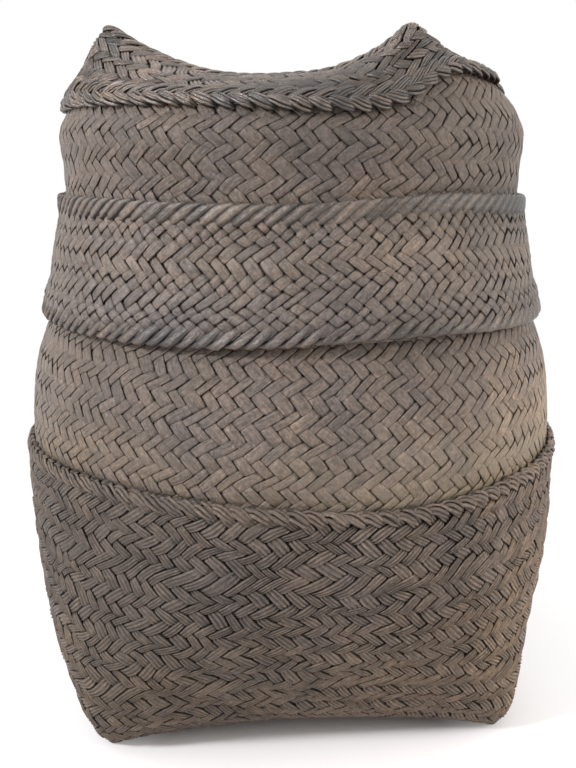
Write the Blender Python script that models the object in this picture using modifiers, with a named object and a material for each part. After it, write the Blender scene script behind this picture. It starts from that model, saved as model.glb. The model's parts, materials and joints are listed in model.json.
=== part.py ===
"""Lidded basket: two plaited baskets, one over the other, with a deep lid that lifts straight off.

Everything is in metres, +Z up. The origin is on the floor, under the middle of the base.
Each plaited layer is a shell lofted between rounded squares: nearly sharp at the four feet and at
the four peaks of the lid, and round at the belly, the neck and the lid's skirt.
"""

import math

import bmesh
import bpy
from mathutils import Matrix

# Driving sizes of the basket
BASE_HALF_SIDE = 0.1200
BELLY_RADIUS = 0.1742
COVER_TOP = 0.1665
BASE_EDGE_ARCH = 0.0115
BASE_CENTRE_RISE = 0.0190
FOOT_WEAR = 0.0020
NECK_RADIUS = 0.1380

# Driving sizes of the lid, each built on the last: its rim rests on the shoulder at the seat
# height, the band climbs from there, the bare wall stands above the band and the cap's lower edge
# a step above the wall. The cap's top edge rises above its lower edge, the peaks rise above the
# top edge, and the middle of the top dips below it. The neck reaches up into the lid
SEAT_HEIGHT = 0.2460
BAND_HEIGHT = 0.0685
BARE_WALL_HEIGHT = 0.0415
CAP_STEP = 0.0095
NECK_REACH = 0.0835
MOUTH_HEIGHT = SEAT_HEIGHT + NECK_REACH
RIDGE_HEIGHT = SEAT_HEIGHT + BAND_HEIGHT
WALL_TOP = RIDGE_HEIGHT + BARE_WALL_HEIGHT
CAP_EDGE_HEIGHT = WALL_TOP + CAP_STEP
LID_EDGE_RISE = 0.0195
PEAK_RISE = 0.0250
LID_DISH = 0.0040
LID_HALF_SIDE = 0.0865
WALL_SWELL = 0.0012
LID_TURN = math.radians(-18.5)

# Where hand work departs from the regular form: the body is drawn in above its right front
# foot, and the lid's shoulder is fuller and higher on its right
DRAWN_AZIMUTH = math.radians(-35)
DRAWN_WIDTH = math.radians(38)
DRAWN_HEIGHT = 0.0600
DRAWN_SPREAD = 0.0420
DRAWN_DEPTH = 0.0070
FULL_AZIMUTH = math.radians(5)
FULL_WIDTH = math.radians(32)
FULL_SPREAD = 0.0120
FULL_OUT = 0.0020
FULL_UP = 0.0030
FADE_RADIUS = 0.0800

# Thickness of each plaited layer, and of the selvages folded over their ends
BASKET_THICKNESS = 0.0020
COVER_THICKNESS = 0.0030
SHELL_THICKNESS = 0.0018
CAP_THICKNESS = 0.0026
BAND_THICKNESS = 0.0016
FOLD_THICKNESS = 0.0008
COVER_BRAID_RADIUS = 0.0022
CAP_BRAID_RADIUS = 0.0015

# Courses of the coarse plait: each pair of rows of strips stands out as a soft ridge
COVER_COURSES = 12
CAP_COURSES = 4
COURSE_RELIEF = 0.0008

# Clearances
GAP = 0.0003
OVERRUN = 0.010
SEAT_GAP = 0.0008
NECK_GAP = 0.0014
COVER_DEPTH = COVER_THICKNESS + GAP
CAP_DEPTH = CAP_THICKNESS + GAP

# Selvages and the cane hoops in them
MOUTH_FOLD_LENGTH = 0.0095
MOUTH_HOOP_RADIUS = 0.0009
RIDGE_FOLD_LENGTH = 0.0075
RIDGE_HOOP_RADIUS = 0.0008
RIM_FOLD_LENGTH = 0.0085
RIM_HOOP_RADIUS = 0.0014

SIDES = 4
STEPS = 40
PANEL_POWER = 2.5
LEAST_ROUNDNESS = 0.03
ROOT_TWO = math.sqrt(2)

# How the outer wall climbs from the base edge to the top of the cover:
# share of the height, share of the spread from base to belly, and roundness of the section
COVER_WALL_SHARES = (
    (0.000, 0.000, 0.05),
    (0.070, 0.210, 0.19),
    (0.180, 0.410, 0.36),
    (0.310, 0.610, 0.54),
    (0.460, 0.785, 0.72),
    (0.630, 0.915, 0.88),
    (0.820, 0.990, 0.99),
    (1.000, 0.990, 1.00),
)

# The shoulder and neck above the cover: share of the height from the cover to the mouth,
# and share of the spread from the neck to the shoulder
SHOULDER_SHARES = (
    (0.160, 0.965),
    (0.290, 0.875),
    (0.375, 0.755),
    (0.440, 0.620),
    (0.488, 0.490),
    (0.540, 0.360),
    (0.640, 0.200),
    (0.790, 0.070),
    (1.000, 0.000),
)

# The lid's skirt: share of the height from its rim to the ridge, and share of its flare
FLARE_SHARES = (
    (0.000, 1.000),
    (0.150, 1.000),
    (0.240, 0.790),
    (0.450, 0.540),
    (0.700, 0.270),
    (0.850, 0.100),
    (1.000, 0.030),
)

# The lid's shoulder: share of the way in from wall to top edge, share of the rise at the
# middle of a side, share of the rise at a corner, and roundness
LID_SHOULDER_SHARES = (
    (0.000, 0.000, 0.000, 1.00),
    (0.090, 0.300, 0.190, 0.95),
    (0.255, 0.560, 0.410, 0.83),
    (0.520, 0.810, 0.670, 0.63),
    (0.770, 0.950, 0.870, 0.36),
    (1.000, 1.000, 1.000, 0.12),
)

# The four corners of a section, from the one between +X and +Y round: share of the rise from
# side to corner, and how sharply the edge climbs to the corner and falls from it
EVEN_CORNER_SHARES = ((1.00, 2.3, 2.3),) * 4
LID_CORNER_SHARES = ((1.00, 2.0, 2.3), (0.45, 2.3, 2.3), (1.10, 2.3, 1.9), (0.95, 2.9, 1.2))

# Rings of the flat panels, from the middle out
PANEL_SHARES = (0.0, 0.50, 0.82)

# Finish of each material: colour, roughness
FINISHES = {
    "fine_plait": ((0.245, 0.215, 0.190, 1.0), 0.62),
    "coarse_plait": ((0.200, 0.175, 0.155, 1.0), 0.70),
    "folded_edge": ((0.225, 0.205, 0.190, 1.0), 0.55),
    "cane": ((0.300, 0.245, 0.180, 1.0), 0.60),
}


class Station:
    """One level of a shell: how far out it is and how high, at mid side and at the corner."""

    def __init__(self, side, side_height, corner, corner_height):
        self.side = side
        self.side_height = side_height
        self.corner = corner
        self.corner_height = corner_height

    def roundness(self):
        """Corner radius of the section as a share of its half side."""
        if self.side <= 0:
            return 1.0
        radius = (self.side * ROOT_TWO - self.corner) / (ROOT_TWO - 1)
        return min(max(radius / self.side, LEAST_ROUNDNESS), 1.0)


def corner_reach(side, roundness):
    """Distance from the axis to the corner of a rounded square."""
    radius = side * roundness
    return (side - radius) * ROOT_TWO + radius


def level(side, height, roundness=1.0, corner_height=None):
    if corner_height is None:
        corner_height = height
    return Station(side, height, corner_reach(side, roundness), corner_height)


class SmoothWall:
    """A smooth curve through a wall's stations, read by the distance travelled up the wall."""

    def __init__(self, stations):
        self.rows = [(s.side, s.side_height, s.corner, s.corner_height) for s in stations]
        self.travels = [0.0]
        for before, after in zip(self.rows, self.rows[1:]):
            side_step = math.hypot(after[0] - before[0], after[1] - before[1])
            corner_step = math.hypot(after[2] - before[2], after[3] - before[3])
            self.travels.append(self.travels[-1] + (side_step + corner_step) / 2)

    def slope(self, k, column):
        low, high = max(k - 1, 0), min(k + 1, len(self.rows) - 1)
        run = self.travels[high] - self.travels[low]
        return (self.rows[high][column] - self.rows[low][column]) / run

    def row_at(self, travel):
        k = 0
        while k < len(self.rows) - 2 and travel > self.travels[k + 1]:
            k += 1
        span = self.travels[k + 1] - self.travels[k]
        t = (travel - self.travels[k]) / span
        row = []
        for column in range(len(self.rows[0])):
            start, end = self.rows[k][column], self.rows[k + 1][column]
            rise_out = self.slope(k, column) * span
            rise_in = self.slope(k + 1, column) * span
            row.append(
                start * (1 + 2 * t) * (1 - t) ** 2
                + rise_out * t * (1 - t) ** 2
                + end * t * t * (3 - 2 * t)
                + rise_in * t * t * (t - 1)
            )
        return row

    def courses(self, count, relief):
        """Stations up the wall, with a ridge of the given relief in the middle of each course."""
        steps = 2 * count
        length = self.travels[-1]
        stations = []
        for k in range(steps + 1):
            travel = length * k / steps
            side, side_height, corner, corner_height = self.row_at(travel)
            if k % 2:
                reach = length / steps / 2
                low, high = self.row_at(travel - reach), self.row_at(travel + reach)
                run, rise = high[0] - low[0], high[1] - low[1]
                side += relief * rise / math.hypot(run, rise)
                side_height -= relief * run / math.hypot(run, rise)
                run, rise = high[2] - low[2], high[3] - low[3]
                corner += relief * rise / math.hypot(run, rise)
                corner_height -= relief * run / math.hypot(run, rise)
            stations.append(Station(side, side_height, corner, corner_height))
        return stations


def panel(edge, centre_height):
    """The levels of a panel from its middle to just inside its edge."""
    levels = []
    for share in PANEL_SHARES:
        lift = share**PANEL_POWER
        levels.append(
            Station(
                edge.side * share,
                centre_height + (edge.side_height - centre_height) * lift,
                edge.corner * share,
                centre_height + (edge.corner_height - centre_height) * lift,
            )
        )
    return levels


def inward(line, distance):
    """A (radius, height) line moved sideways to its left, where the inside is."""
    moved = []
    for k, (r, z) in enumerate(line):
        before = line[k - 1] if k else None
        after = line[k + 1] if k + 1 < len(line) else None
        normals = []
        for start, end in ((before, (r, z)), ((r, z), after)):
            if start is None or end is None:
                continue
            run, rise = end[0] - start[0], end[1] - start[1]
            length = math.hypot(run, rise)
            if length > 0:
                normals.append((-rise / length, run / length))
        nr = sum(n[0] for n in normals) / len(normals)
        nz = sum(n[1] for n in normals) / len(normals)
        size = nr * nr + nz * nz
        moved.append((max(r + distance * nr / size, 0.0), z + distance * nz / size))
    return moved


def section_point(share, side, roundness):
    """The point at a share of the way round a rounded square, starting at the middle of +X."""
    quarter, along = divmod(share * SIDES + 0.5, 1.0)
    along -= 0.5
    radius = side * roundness
    flat = 2 * (side - radius)
    arc = radius * math.pi / 2
    travel = abs(along) * (flat + arc)
    if travel <= flat / 2:
        x, y = side, travel
    else:
        turn = (travel - flat / 2) / radius
        x = side - radius + radius * math.cos(turn)
        y = flat / 2 + radius * math.sin(turn)
    y = math.copysign(y, along)
    angle = quarter * math.pi / 2
    return (
        x * math.cos(angle) - y * math.sin(angle),
        x * math.sin(angle) + y * math.cos(angle),
    )


def cornerness(share, corners):
    """Nought at the middle of a side, and at a corner its own share of the rise."""
    rise, climb, fall = corners[int(share * SIDES) % SIDES]
    along = (share * SIDES + 0.5) % 1.0 - 0.5
    return rise * abs(2 * along) ** (climb if along > 0 else fall)


class Swelling:
    """A place where a layer is drawn in or filled out, fading away all round its middle."""

    def __init__(self, azimuth, width, height, spread, out, up):
        self.azimuth = azimuth
        self.width = width
        self.height = height
        self.spread = spread
        self.out = out
        self.up = up

    def moved(self, x, y, z):
        radius = math.hypot(x, y)
        aside = math.remainder(math.atan2(y, x) - self.azimuth, 2 * math.pi) / self.width
        above = (z - self.height) / self.spread
        share = math.exp(-aside * aside - above * above) * min(radius / FADE_RADIUS, 1.0) ** 2
        grown = 1 + self.out * share / max(radius, GAP)
        return x * grown, y * grown, z + self.up * share


def material(slot):
    found = bpy.data.materials.get(slot)
    if found:
        return found
    colour, roughness = FINISHES[slot]
    made = bpy.data.materials.new(slot)
    made.use_nodes = True
    shader = made.node_tree.nodes["Principled BSDF"]
    shader.inputs["Base Color"].default_value = colour
    shader.inputs["Roughness"].default_value = roughness
    shader.inputs["Metallic"].default_value = 0.0
    return made


def put(name, data, slot, collection, parent):
    made = bpy.data.objects.new(name, data)
    data.materials.append(material(slot))
    collection.objects.link(made)
    made.parent = parent
    return made


def loft(name, stations, depth, thickness, corners, swelling, slot, collection, parent):
    """A shell that lies a given depth inside the surface through the stations.

    Layers made from the same surface at different depths lie parallel, one inside the next.
    """
    bm = bmesh.new()
    rings = []
    for s in stations:
        if s.side <= 0:
            rings.append([bm.verts.new((0, 0, s.side_height))])
            continue
        ring = []
        for k in range(STEPS):
            share = k / STEPS
            x, y = section_point(share, s.side, s.roundness())
            rise = (s.corner_height - s.side_height) * cornerness(share, corners)
            ring.append(bm.verts.new(swelling.moved(x, y, s.side_height + rise)))
        rings.append(ring)
    for lower, upper in zip(rings, rings[1:]):
        for k in range(STEPS):
            after = (k + 1) % STEPS
            if len(lower) == 1:
                bm.faces.new((lower[0], upper[after], upper[k]))
            elif len(upper) == 1:
                bm.faces.new((lower[k], lower[after], upper[0]))
            else:
                bm.faces.new((lower[k], lower[after], upper[after], upper[k]))
    mesh = bpy.data.meshes.new(name)
    bm.to_mesh(mesh)
    bm.free()
    mesh.shade_smooth()
    made = put(name, mesh, slot, collection, parent)
    wall = made.modifiers.new("wall", "SOLIDIFY")
    wall.thickness = thickness
    wall.offset = -1.0 - 2 * depth / thickness
    wall.use_even_offset = True
    return made


def cut_flat(made, cutters):
    """Wears the feet flat on the floor."""
    bm = bmesh.new()
    bmesh.ops.create_cube(bm, size=1.0)
    height = FOOT_WEAR + OVERRUN
    bmesh.ops.scale(bm, vec=(2 * BELLY_RADIUS, 2 * BELLY_RADIUS, height), verts=bm.verts)
    bmesh.ops.translate(bm, vec=(0, 0, -height / 2), verts=bm.verts)
    mesh = bpy.data.meshes.new("floor_cutter")
    bm.to_mesh(mesh)
    bm.free()
    cutter = bpy.data.objects.new("floor_cutter", mesh)
    cutters.objects.link(cutter)
    cutter.hide_render = True
    cutter.display_type = "WIRE"
    cut = made.modifiers.new("worn_feet", "BOOLEAN")
    cut.operation = "DIFFERENCE"
    cut.object = cutter


def turned(name, profile, slot, collection, parent):
    """A closed (radius, height) outline, down its outer side first, spun round the axis."""
    bm = bmesh.new()
    corners = [bm.verts.new((r, 0, z)) for r, z in profile]
    for k, corner in enumerate(corners):
        bm.edges.new((corner, corners[(k + 1) % len(corners)]))
    mesh = bpy.data.meshes.new(name)
    bm.to_mesh(mesh)
    bm.free()
    made = put(name, mesh, slot, collection, parent)
    spin = made.modifiers.new("spin", "SCREW")
    spin.steps = STEPS
    spin.render_steps = STEPS
    spin.use_merge_vertices = True
    spin.merge_threshold = 0.00001
    spin.use_smooth_shade = True
    return made


def ring_tube(name, radius, height, thickness, sides, slot, collection, parent):
    """A round bar bent into a hoop."""
    curve = bpy.data.curves.new(name, "CURVE")
    curve.dimensions = "3D"
    curve.bevel_depth = thickness
    curve.bevel_resolution = sides
    line = curve.splines.new("POLY")
    line.points.add(STEPS - 1)
    line.use_cyclic_u = True
    for k, point in enumerate(line.points):
        angle = 2 * math.pi * k / STEPS
        point.co = (radius * math.cos(angle), radius * math.sin(angle), height, 1.0)
    return put(name, curve, slot, collection, parent)


def radius_at(line, height):
    """Radius of a rising (radius, height) line at a height, carried on past its ends."""
    for lower, upper in zip(line, line[1:]):
        if height <= upper[1]:
            break
    share = (height - lower[1]) / (upper[1] - lower[1])
    return lower[0] + share * (upper[0] - lower[0])


def fold(outer, inner, end, way, length, hoop_radius):
    """The outline of a selvage folded over the end of a wall, with room for a hoop in the fold.

    outer and inner are the wall's faces as (radius, height) lines, end is the height where the
    wall stops, and way is +1 for a fold over the top and -1 for one under the bottom.
    """
    channel = end + way * (2 * hoop_radius + 2 * GAP)
    crown = channel + way * FOLD_THICKNESS
    tip = end - way * length
    out = GAP + FOLD_THICKNESS
    bend = FOLD_THICKNESS / 2
    outer_tip, outer_end = radius_at(outer, tip), radius_at(outer, channel)
    inner_tip, inner_end = radius_at(inner, tip), radius_at(inner, channel)
    outline = [
        (outer_tip + out, tip),
        (outer_end + out, channel),
        (outer_end + out - bend, crown),
        (inner_end - out + bend, crown),
        (inner_end - out, channel),
        (inner_tip - out, tip),
        (inner_tip - GAP, tip),
        (inner_end - GAP, channel),
        (outer_end + GAP, channel),
        (outer_tip + GAP, tip),
    ]
    if way > 0:
        outline.reverse()
    height = end + way * (GAP + hoop_radius)
    middle = (radius_at(outer, height) + radius_at(inner, height)) / 2
    return outline, middle, height


def side_line(stations):
    return [(s.side, s.side_height) for s in stations]


def cover_stations(relief):
    """The outer face of the cover, from the middle of the base to its top edge."""
    spread = BELLY_RADIUS - BASE_HALF_SIDE
    wall = []
    for rise, out, roundness in COVER_WALL_SHARES:
        side_height = BASE_EDGE_ARCH + (COVER_TOP - BASE_EDGE_ARCH) * rise
        corner_height = (COVER_TOP + FOOT_WEAR) * rise - FOOT_WEAR
        wall.append(level(BASE_HALF_SIDE + spread * out, side_height, roundness, corner_height))
    return panel(wall[0], BASE_CENTRE_RISE) + SmoothWall(wall).courses(COVER_COURSES, relief)


def basket_stations(cover):
    """The cover's surface carried on over the basket's shoulder and up its neck.

    The inner basket's outer face lies COVER_DEPTH inside it.
    """
    neck = NECK_RADIUS + COVER_DEPTH
    spread = cover[-1].side - neck
    rise = MOUTH_HEIGHT - COVER_TOP
    above = [level(neck + spread * out, COVER_TOP + rise * up) for up, out in SHOULDER_SHARES]
    return cover + above


def lid_skirt(basket_face):
    """The outer face of the lid's shell from its rim up to the top of its straight wall.

    Its rim clears the basket's shoulder, and its wall clears the neck and the mouth's fold.
    """
    rim_end = SEAT_HEIGHT + 2 * RIM_HOOP_RADIUS + 2 * GAP + FOLD_THICKNESS
    seat = radius_at(basket_face, SEAT_HEIGHT) + SEAT_GAP
    rim = seat + FOLD_THICKNESS + GAP + SHELL_THICKNESS
    wall = NECK_RADIUS + GAP + FOLD_THICKNESS + NECK_GAP + SHELL_THICKNESS
    skirt = [
        level(wall + (rim - wall) * out, rim_end + (RIDGE_HEIGHT - rim_end) * up)
        for up, out in FLARE_SHARES
    ]
    middle = (RIDGE_HEIGHT + WALL_TOP) / 2
    return skirt + [level(wall + WALL_SWELL / 2, middle), level(wall + WALL_SWELL, WALL_TOP)]


def cap_stations(skirt, relief):
    """The outer face of the cap over the lid's top, from its lower edge to the middle."""
    wall = skirt[-1].side
    start = wall - WALL_SWELL
    way_in = start - LID_HALF_SIDE
    levels = []
    for into, side_up, corner_up, roundness in LID_SHOULDER_SHARES:
        side_height = CAP_EDGE_HEIGHT + LID_EDGE_RISE * side_up
        corner_height = CAP_EDGE_HEIGHT + (LID_EDGE_RISE + PEAK_RISE) * corner_up
        levels.append(level(start - way_in * into, side_height, roundness, corner_height))
    top = panel(levels[-1], levels[-1].side_height - LID_DISH)
    return SmoothWall(levels).courses(CAP_COURSES, relief) + top[::-1]


def band_outline(skirt):
    """The band round the skirt: snug at the rim, and standing off at its top for the fold."""
    face = side_line(skirt)
    rim_end = skirt[0].side_height
    stand_off = GAP + FOLD_THICKNESS
    outer = []
    for up, _ in FLARE_SHARES:
        height = rim_end + (RIDGE_HEIGHT - rim_end) * up
        radius = radius_at(face, height) + GAP + stand_off * up + BAND_THICKNESS
        outer.append((radius, height))
    inner = [(r - BAND_THICKNESS, z) for r, z in outer]
    return outer, inner


def build():
    for obj in list(bpy.data.objects):
        bpy.data.objects.remove(obj)
    collection = bpy.data.collections.new("lidded_basket")
    cutters = bpy.data.collections.new("cutters")
    for group in (collection, cutters):
        bpy.context.scene.collection.children.link(group)
    basket_root = bpy.data.objects.new("basket_frame", None)
    lid_root = bpy.data.objects.new("lid_frame", None)
    for root in (basket_root, lid_root):
        collection.objects.link(root)
    lid_root.matrix_world = Matrix.Rotation(LID_TURN, 4, "Z")

    # The basket: a coarse cover with four feet, and a fine inner basket with a neck
    drawn = Swelling(
        DRAWN_AZIMUTH, DRAWN_WIDTH, DRAWN_HEIGHT, DRAWN_SPREAD, -DRAWN_DEPTH, 0.0
    )
    worn = loft(
        "outer_cover", cover_stations(COURSE_RELIEF), 0.0, COVER_THICKNESS,
        EVEN_CORNER_SHARES, drawn, "coarse_plait", collection, basket_root,
    )
    cut_flat(worn, cutters)
    cover = cover_stations(0.0)
    basket = basket_stations(cover)
    loft(
        "inner_basket", basket, COVER_DEPTH, BASKET_THICKNESS,
        EVEN_CORNER_SHARES, drawn, "fine_plait", collection, basket_root,
    )
    outer = inward(side_line(basket), COVER_DEPTH)[len(cover) - 1 :]
    braid_height = COVER_TOP + GAP + COVER_BRAID_RADIUS
    braid_ring = radius_at(outer, COVER_TOP) + GAP + COVER_BRAID_RADIUS
    ring_tube(
        "cover_edge_braid", braid_ring, braid_height, COVER_BRAID_RADIUS, 1,
        "coarse_plait", collection, basket_root,
    )
    inner = [(r - BASKET_THICKNESS, z) for r, z in outer]
    outline, middle, height = fold(
        outer, inner, MOUTH_HEIGHT, 1, MOUTH_FOLD_LENGTH, MOUTH_HOOP_RADIUS
    )
    turned("mouth_fold", outline, "folded_edge", collection, basket_root)
    ring_tube(
        "mouth_hoop", middle, height, MOUTH_HOOP_RADIUS, 0, "cane", collection, basket_root
    )

    # The lid: a fine shell, a coarse cap over its top and a fine band round its skirt
    skirt = lid_skirt(outer)
    full = Swelling(
        FULL_AZIMUTH, FULL_WIDTH, CAP_EDGE_HEIGHT + LID_EDGE_RISE, FULL_SPREAD, FULL_OUT, FULL_UP
    )
    loft(
        "lid_cap", cap_stations(skirt, COURSE_RELIEF), 0.0, CAP_THICKNESS,
        LID_CORNER_SHARES, full, "coarse_plait", collection, lid_root,
    )
    cap = cap_stations(skirt, 0.0)
    wall = [level(s.side + CAP_DEPTH, s.side_height) for s in skirt]
    loft(
        "lid_shell", wall + cap, CAP_DEPTH, SHELL_THICKNESS,
        LID_CORNER_SHARES, full, "fine_plait", collection, lid_root,
    )
    face = inward(side_line((wall + cap)[: len(wall) + 2]), CAP_DEPTH)
    cap_braid_height = CAP_EDGE_HEIGHT - GAP - CAP_BRAID_RADIUS
    backing = radius_at(face, cap_braid_height - CAP_BRAID_RADIUS)
    ring_tube(
        "cap_edge_braid", backing + GAP + CAP_BRAID_RADIUS, cap_braid_height, CAP_BRAID_RADIUS, 1,
        "coarse_plait", collection, lid_root,
    )
    band_outer, band_inner = band_outline(skirt)
    turned(
        "lid_band", band_outer[::-1] + band_inner, "fine_plait", collection, lid_root
    )
    outline, middle, height = fold(
        band_outer, band_inner, RIDGE_HEIGHT, 1, RIDGE_FOLD_LENGTH, RIDGE_HOOP_RADIUS
    )
    turned("band_ridge_fold", outline, "folded_edge", collection, lid_root)
    ring_tube(
        "ridge_hoop", middle, height, RIDGE_HOOP_RADIUS, 0, "cane", collection, lid_root
    )
    shell_inner = [(r - SHELL_THICKNESS, z) for r, z in side_line(skirt)]
    rim_end = skirt[0].side_height
    outline, middle, height = fold(
        band_outer, shell_inner, rim_end, -1, RIM_FOLD_LENGTH, RIM_HOOP_RADIUS
    )
    turned("lid_rim_fold", outline, "folded_edge", collection, lid_root)
    ring_tube(
        "rim_hoop", middle, height, RIM_HOOP_RADIUS, 0, "cane", collection, lid_root
    )


build()
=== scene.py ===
"""Lidded basket: plaited strips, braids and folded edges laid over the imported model.

Every plaited layer is made the way a basket maker sees it: one flat strip is modelled, copied
side by side, bent over and under by its place in the plait, and then wrapped onto the basket's
shape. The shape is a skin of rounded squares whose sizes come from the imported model.
"""

import json
import math

import bpy
import numpy as np
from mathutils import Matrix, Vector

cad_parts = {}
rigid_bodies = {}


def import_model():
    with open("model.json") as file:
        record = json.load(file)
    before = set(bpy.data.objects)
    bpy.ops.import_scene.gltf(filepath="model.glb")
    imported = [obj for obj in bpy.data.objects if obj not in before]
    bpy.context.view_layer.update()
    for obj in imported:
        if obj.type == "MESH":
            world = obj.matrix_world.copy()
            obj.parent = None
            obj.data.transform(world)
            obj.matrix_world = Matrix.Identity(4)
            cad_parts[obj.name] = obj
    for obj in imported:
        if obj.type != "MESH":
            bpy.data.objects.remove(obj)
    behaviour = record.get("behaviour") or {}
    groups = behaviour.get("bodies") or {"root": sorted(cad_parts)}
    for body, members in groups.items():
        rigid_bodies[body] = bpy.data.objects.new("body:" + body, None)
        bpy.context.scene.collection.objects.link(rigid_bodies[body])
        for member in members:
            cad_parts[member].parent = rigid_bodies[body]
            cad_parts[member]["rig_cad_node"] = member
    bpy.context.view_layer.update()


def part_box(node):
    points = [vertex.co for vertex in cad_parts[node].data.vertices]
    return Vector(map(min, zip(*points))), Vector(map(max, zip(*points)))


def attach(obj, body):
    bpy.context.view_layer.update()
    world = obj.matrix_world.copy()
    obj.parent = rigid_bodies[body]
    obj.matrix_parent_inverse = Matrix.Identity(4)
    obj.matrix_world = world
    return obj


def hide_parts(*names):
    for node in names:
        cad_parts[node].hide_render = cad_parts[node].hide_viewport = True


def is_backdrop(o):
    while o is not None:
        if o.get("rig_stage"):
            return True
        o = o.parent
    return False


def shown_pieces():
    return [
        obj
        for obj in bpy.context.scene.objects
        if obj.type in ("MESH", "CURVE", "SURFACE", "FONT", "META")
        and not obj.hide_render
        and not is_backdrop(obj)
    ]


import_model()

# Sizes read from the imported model
COVER_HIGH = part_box("outer_cover")[1]
BASKET_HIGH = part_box("inner_basket")[1]
CAP_LOW, CAP_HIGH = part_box("lid_cap")
SHELL_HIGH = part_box("lid_shell")[1]
BAND_LOW, BAND_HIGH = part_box("lid_band")
MOUTH_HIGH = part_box("mouth_fold")[1]
RIDGE_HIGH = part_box("band_ridge_fold")[1]
RIM_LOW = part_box("lid_rim_fold")[0]

COURSE_RELIEF = 0.0008
BELLY = COVER_HIGH[0] - COURSE_RELIEF
COVER_TOP = COVER_HIGH[2]
MOUTH_TOP = BASKET_HIGH[2]
MOUTH_FOLD_DEPTH = 0.0017
NECK = MOUTH_HIGH[0] - MOUTH_FOLD_DEPTH
LID_WALL = CAP_HIGH[0]
LID_WALL_TOP = 0.356
LID_SWELL = 0.0012
CAP_EDGE = CAP_LOW[2]
EDGE_TURN = 0.0080
LID_TURN = math.radians(-18.5)

# How a skin and a panel are worked out: a corner's sharpness, a panel's dish, and the steps over
# which a normal is taken
SIDES = 4
LEAST_ROUNDNESS = 0.02
CORNER_POWER = 2.3
PANEL_POWER = 2.5
SKIN_STEP = 0.0004
PANEL_STEP = 0.0005
TINY = 1e-12
ROOT_TWO = math.sqrt(2)

# Wall of the cover: share of its height, share of the spread from base to belly, roundness
BASE_SHARE = 0.691
BASE_ARCH = 0.0115
BASE_RISE = 0.0190
COVER_WALL_SHARES = (
    (0.000, 0.000, 0.05),
    (0.070, 0.210, 0.19),
    (0.180, 0.410, 0.36),
    (0.310, 0.610, 0.54),
    (0.460, 0.785, 0.72),
    (0.630, 0.915, 0.88),
    (0.820, 1.000, 0.99),
    (1.000, 1.000, 1.00),
)

# Shoulder and neck: share of the height from the cover to the mouth, share of the spread
SHOULDER_SHARES = (
    (0.160, 0.965),
    (0.290, 0.875),
    (0.375, 0.755),
    (0.440, 0.620),
    (0.488, 0.490),
    (0.540, 0.360),
    (0.640, 0.200),
    (0.790, 0.070),
    (1.000, 0.000),
)

# Skirt of the lid: share of the height from rim to ridge, share of the flare
FLARE_SHARES = (
    (0.000, 1.000),
    (0.150, 0.980),
    (0.240, 0.790),
    (0.450, 0.540),
    (0.700, 0.270),
    (0.850, 0.100),
    (1.000, 0.030),
)

# Shoulder of the lid: share of the way in, rise at mid side, rise at a corner, roundness
LID_HALF_SHARE = 0.608
LID_EDGE_RISE = 0.0195
PEAK_RISE = 0.0250
LID_DISH = 0.0040
BLUNTNESS = 0.05
BASE_ROUNDNESS = 0.05
LID_TOP_ROUNDNESS = 0.12
LID_SHOULDER_SHARES = (
    (0.000, 0.000, 0.000, 1.00),
    (0.090, 0.300, 0.190, 0.95),
    (0.255, 0.560, 0.410, 0.83),
    (0.520, 0.810, 0.670, 0.63),
    (0.770, 0.950, 0.870, 0.36),
    (1.000, 1.000, 1.000, 0.12),
)

# Corners of the lid, from the one between +X and +Y round: share of the peak's rise, and how
# sharply the edge climbs to it and falls from it
LID_CORNER_SHARES = (
    (1.00, 2.0, 2.3), (0.45, 2.3, 2.3), (1.10, 2.3, 1.9), (0.95, 3.4, 1.0),
)


def smooth_between(knots, values, at):
    """Reads a smooth curve through the values at the knots."""
    knots = np.asarray(knots, float)
    values = np.asarray(values, float)
    slopes = np.gradient(values, knots, axis=0)
    k = np.clip(np.searchsorted(knots, at, side="right") - 1, 0, len(knots) - 2)
    span = knots[k + 1] - knots[k]
    t = (at - knots[k]) / span
    if values.ndim > 1:
        span = span[..., None]
        t = t[..., None]
    first = (1 + 2 * t) * (1 - t) ** 2
    second = t * (1 - t) ** 2 * span
    third = t * t * (3 - 2 * t)
    fourth = t * t * (t - 1) * span
    start = first * values[k] + second * slopes[k]
    return start + third * values[k + 1] + fourth * slopes[k + 1]


def side_place(share):
    """The side a share of the way round falls on, and how far along it, from -0.5 to 0.5."""
    quarter = np.floor(share * SIDES + 0.5)
    return quarter, share * SIDES - quarter


def section_point(share, side, roundness):
    """The point at a share of the way round a rounded square, from the middle of +X."""
    quarter, along = side_place(share)
    radius = side * roundness
    flat = 2 * (side - radius)
    travel = np.abs(along) * (flat + radius * math.pi / 2)
    turn = np.maximum(travel - flat / 2, 0) / radius
    x = np.where(travel <= flat / 2, side, side - radius + radius * np.cos(turn))
    y = np.where(travel <= flat / 2, travel, flat / 2 + radius * np.sin(turn))
    y = np.copysign(y, along)
    angle = quarter * math.pi / 2
    return x * np.cos(angle) - y * np.sin(angle), x * np.sin(angle) + y * np.cos(angle)


ALIKE = ((1.0, CORNER_POWER, CORNER_POWER),) * SIDES


def cornerness(share, corners=ALIKE):
    """Nought at mid side, and at a corner its own share of the rise, a little blunt."""
    table = np.array(corners)[np.floor(share * SIDES).astype(int) % SIDES]
    height, before, after = np.moveaxis(table, -1, 0)
    along = side_place(share)[1]
    climb = np.abs(2 * along) ** np.where(along > 0, before, after)
    if corners is ALIKE:
        return height * climb
    return height * (1 - np.hypot(1 - climb, BLUNTNESS) / (1 - BLUNTNESS)) + BLUNTNESS * height


def nearness(points, azimuth, width, height, spread):
    """One in the middle of a place on the wall, fading to nought all round it."""
    x, y, z = np.moveaxis(points, -1, 0)
    aside = (np.degrees(np.arctan2(y, x)) - azimuth + 180) % 360 - 180
    return np.exp(-((aside / width) ** 2) - ((z - height) / spread) ** 2)


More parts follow.
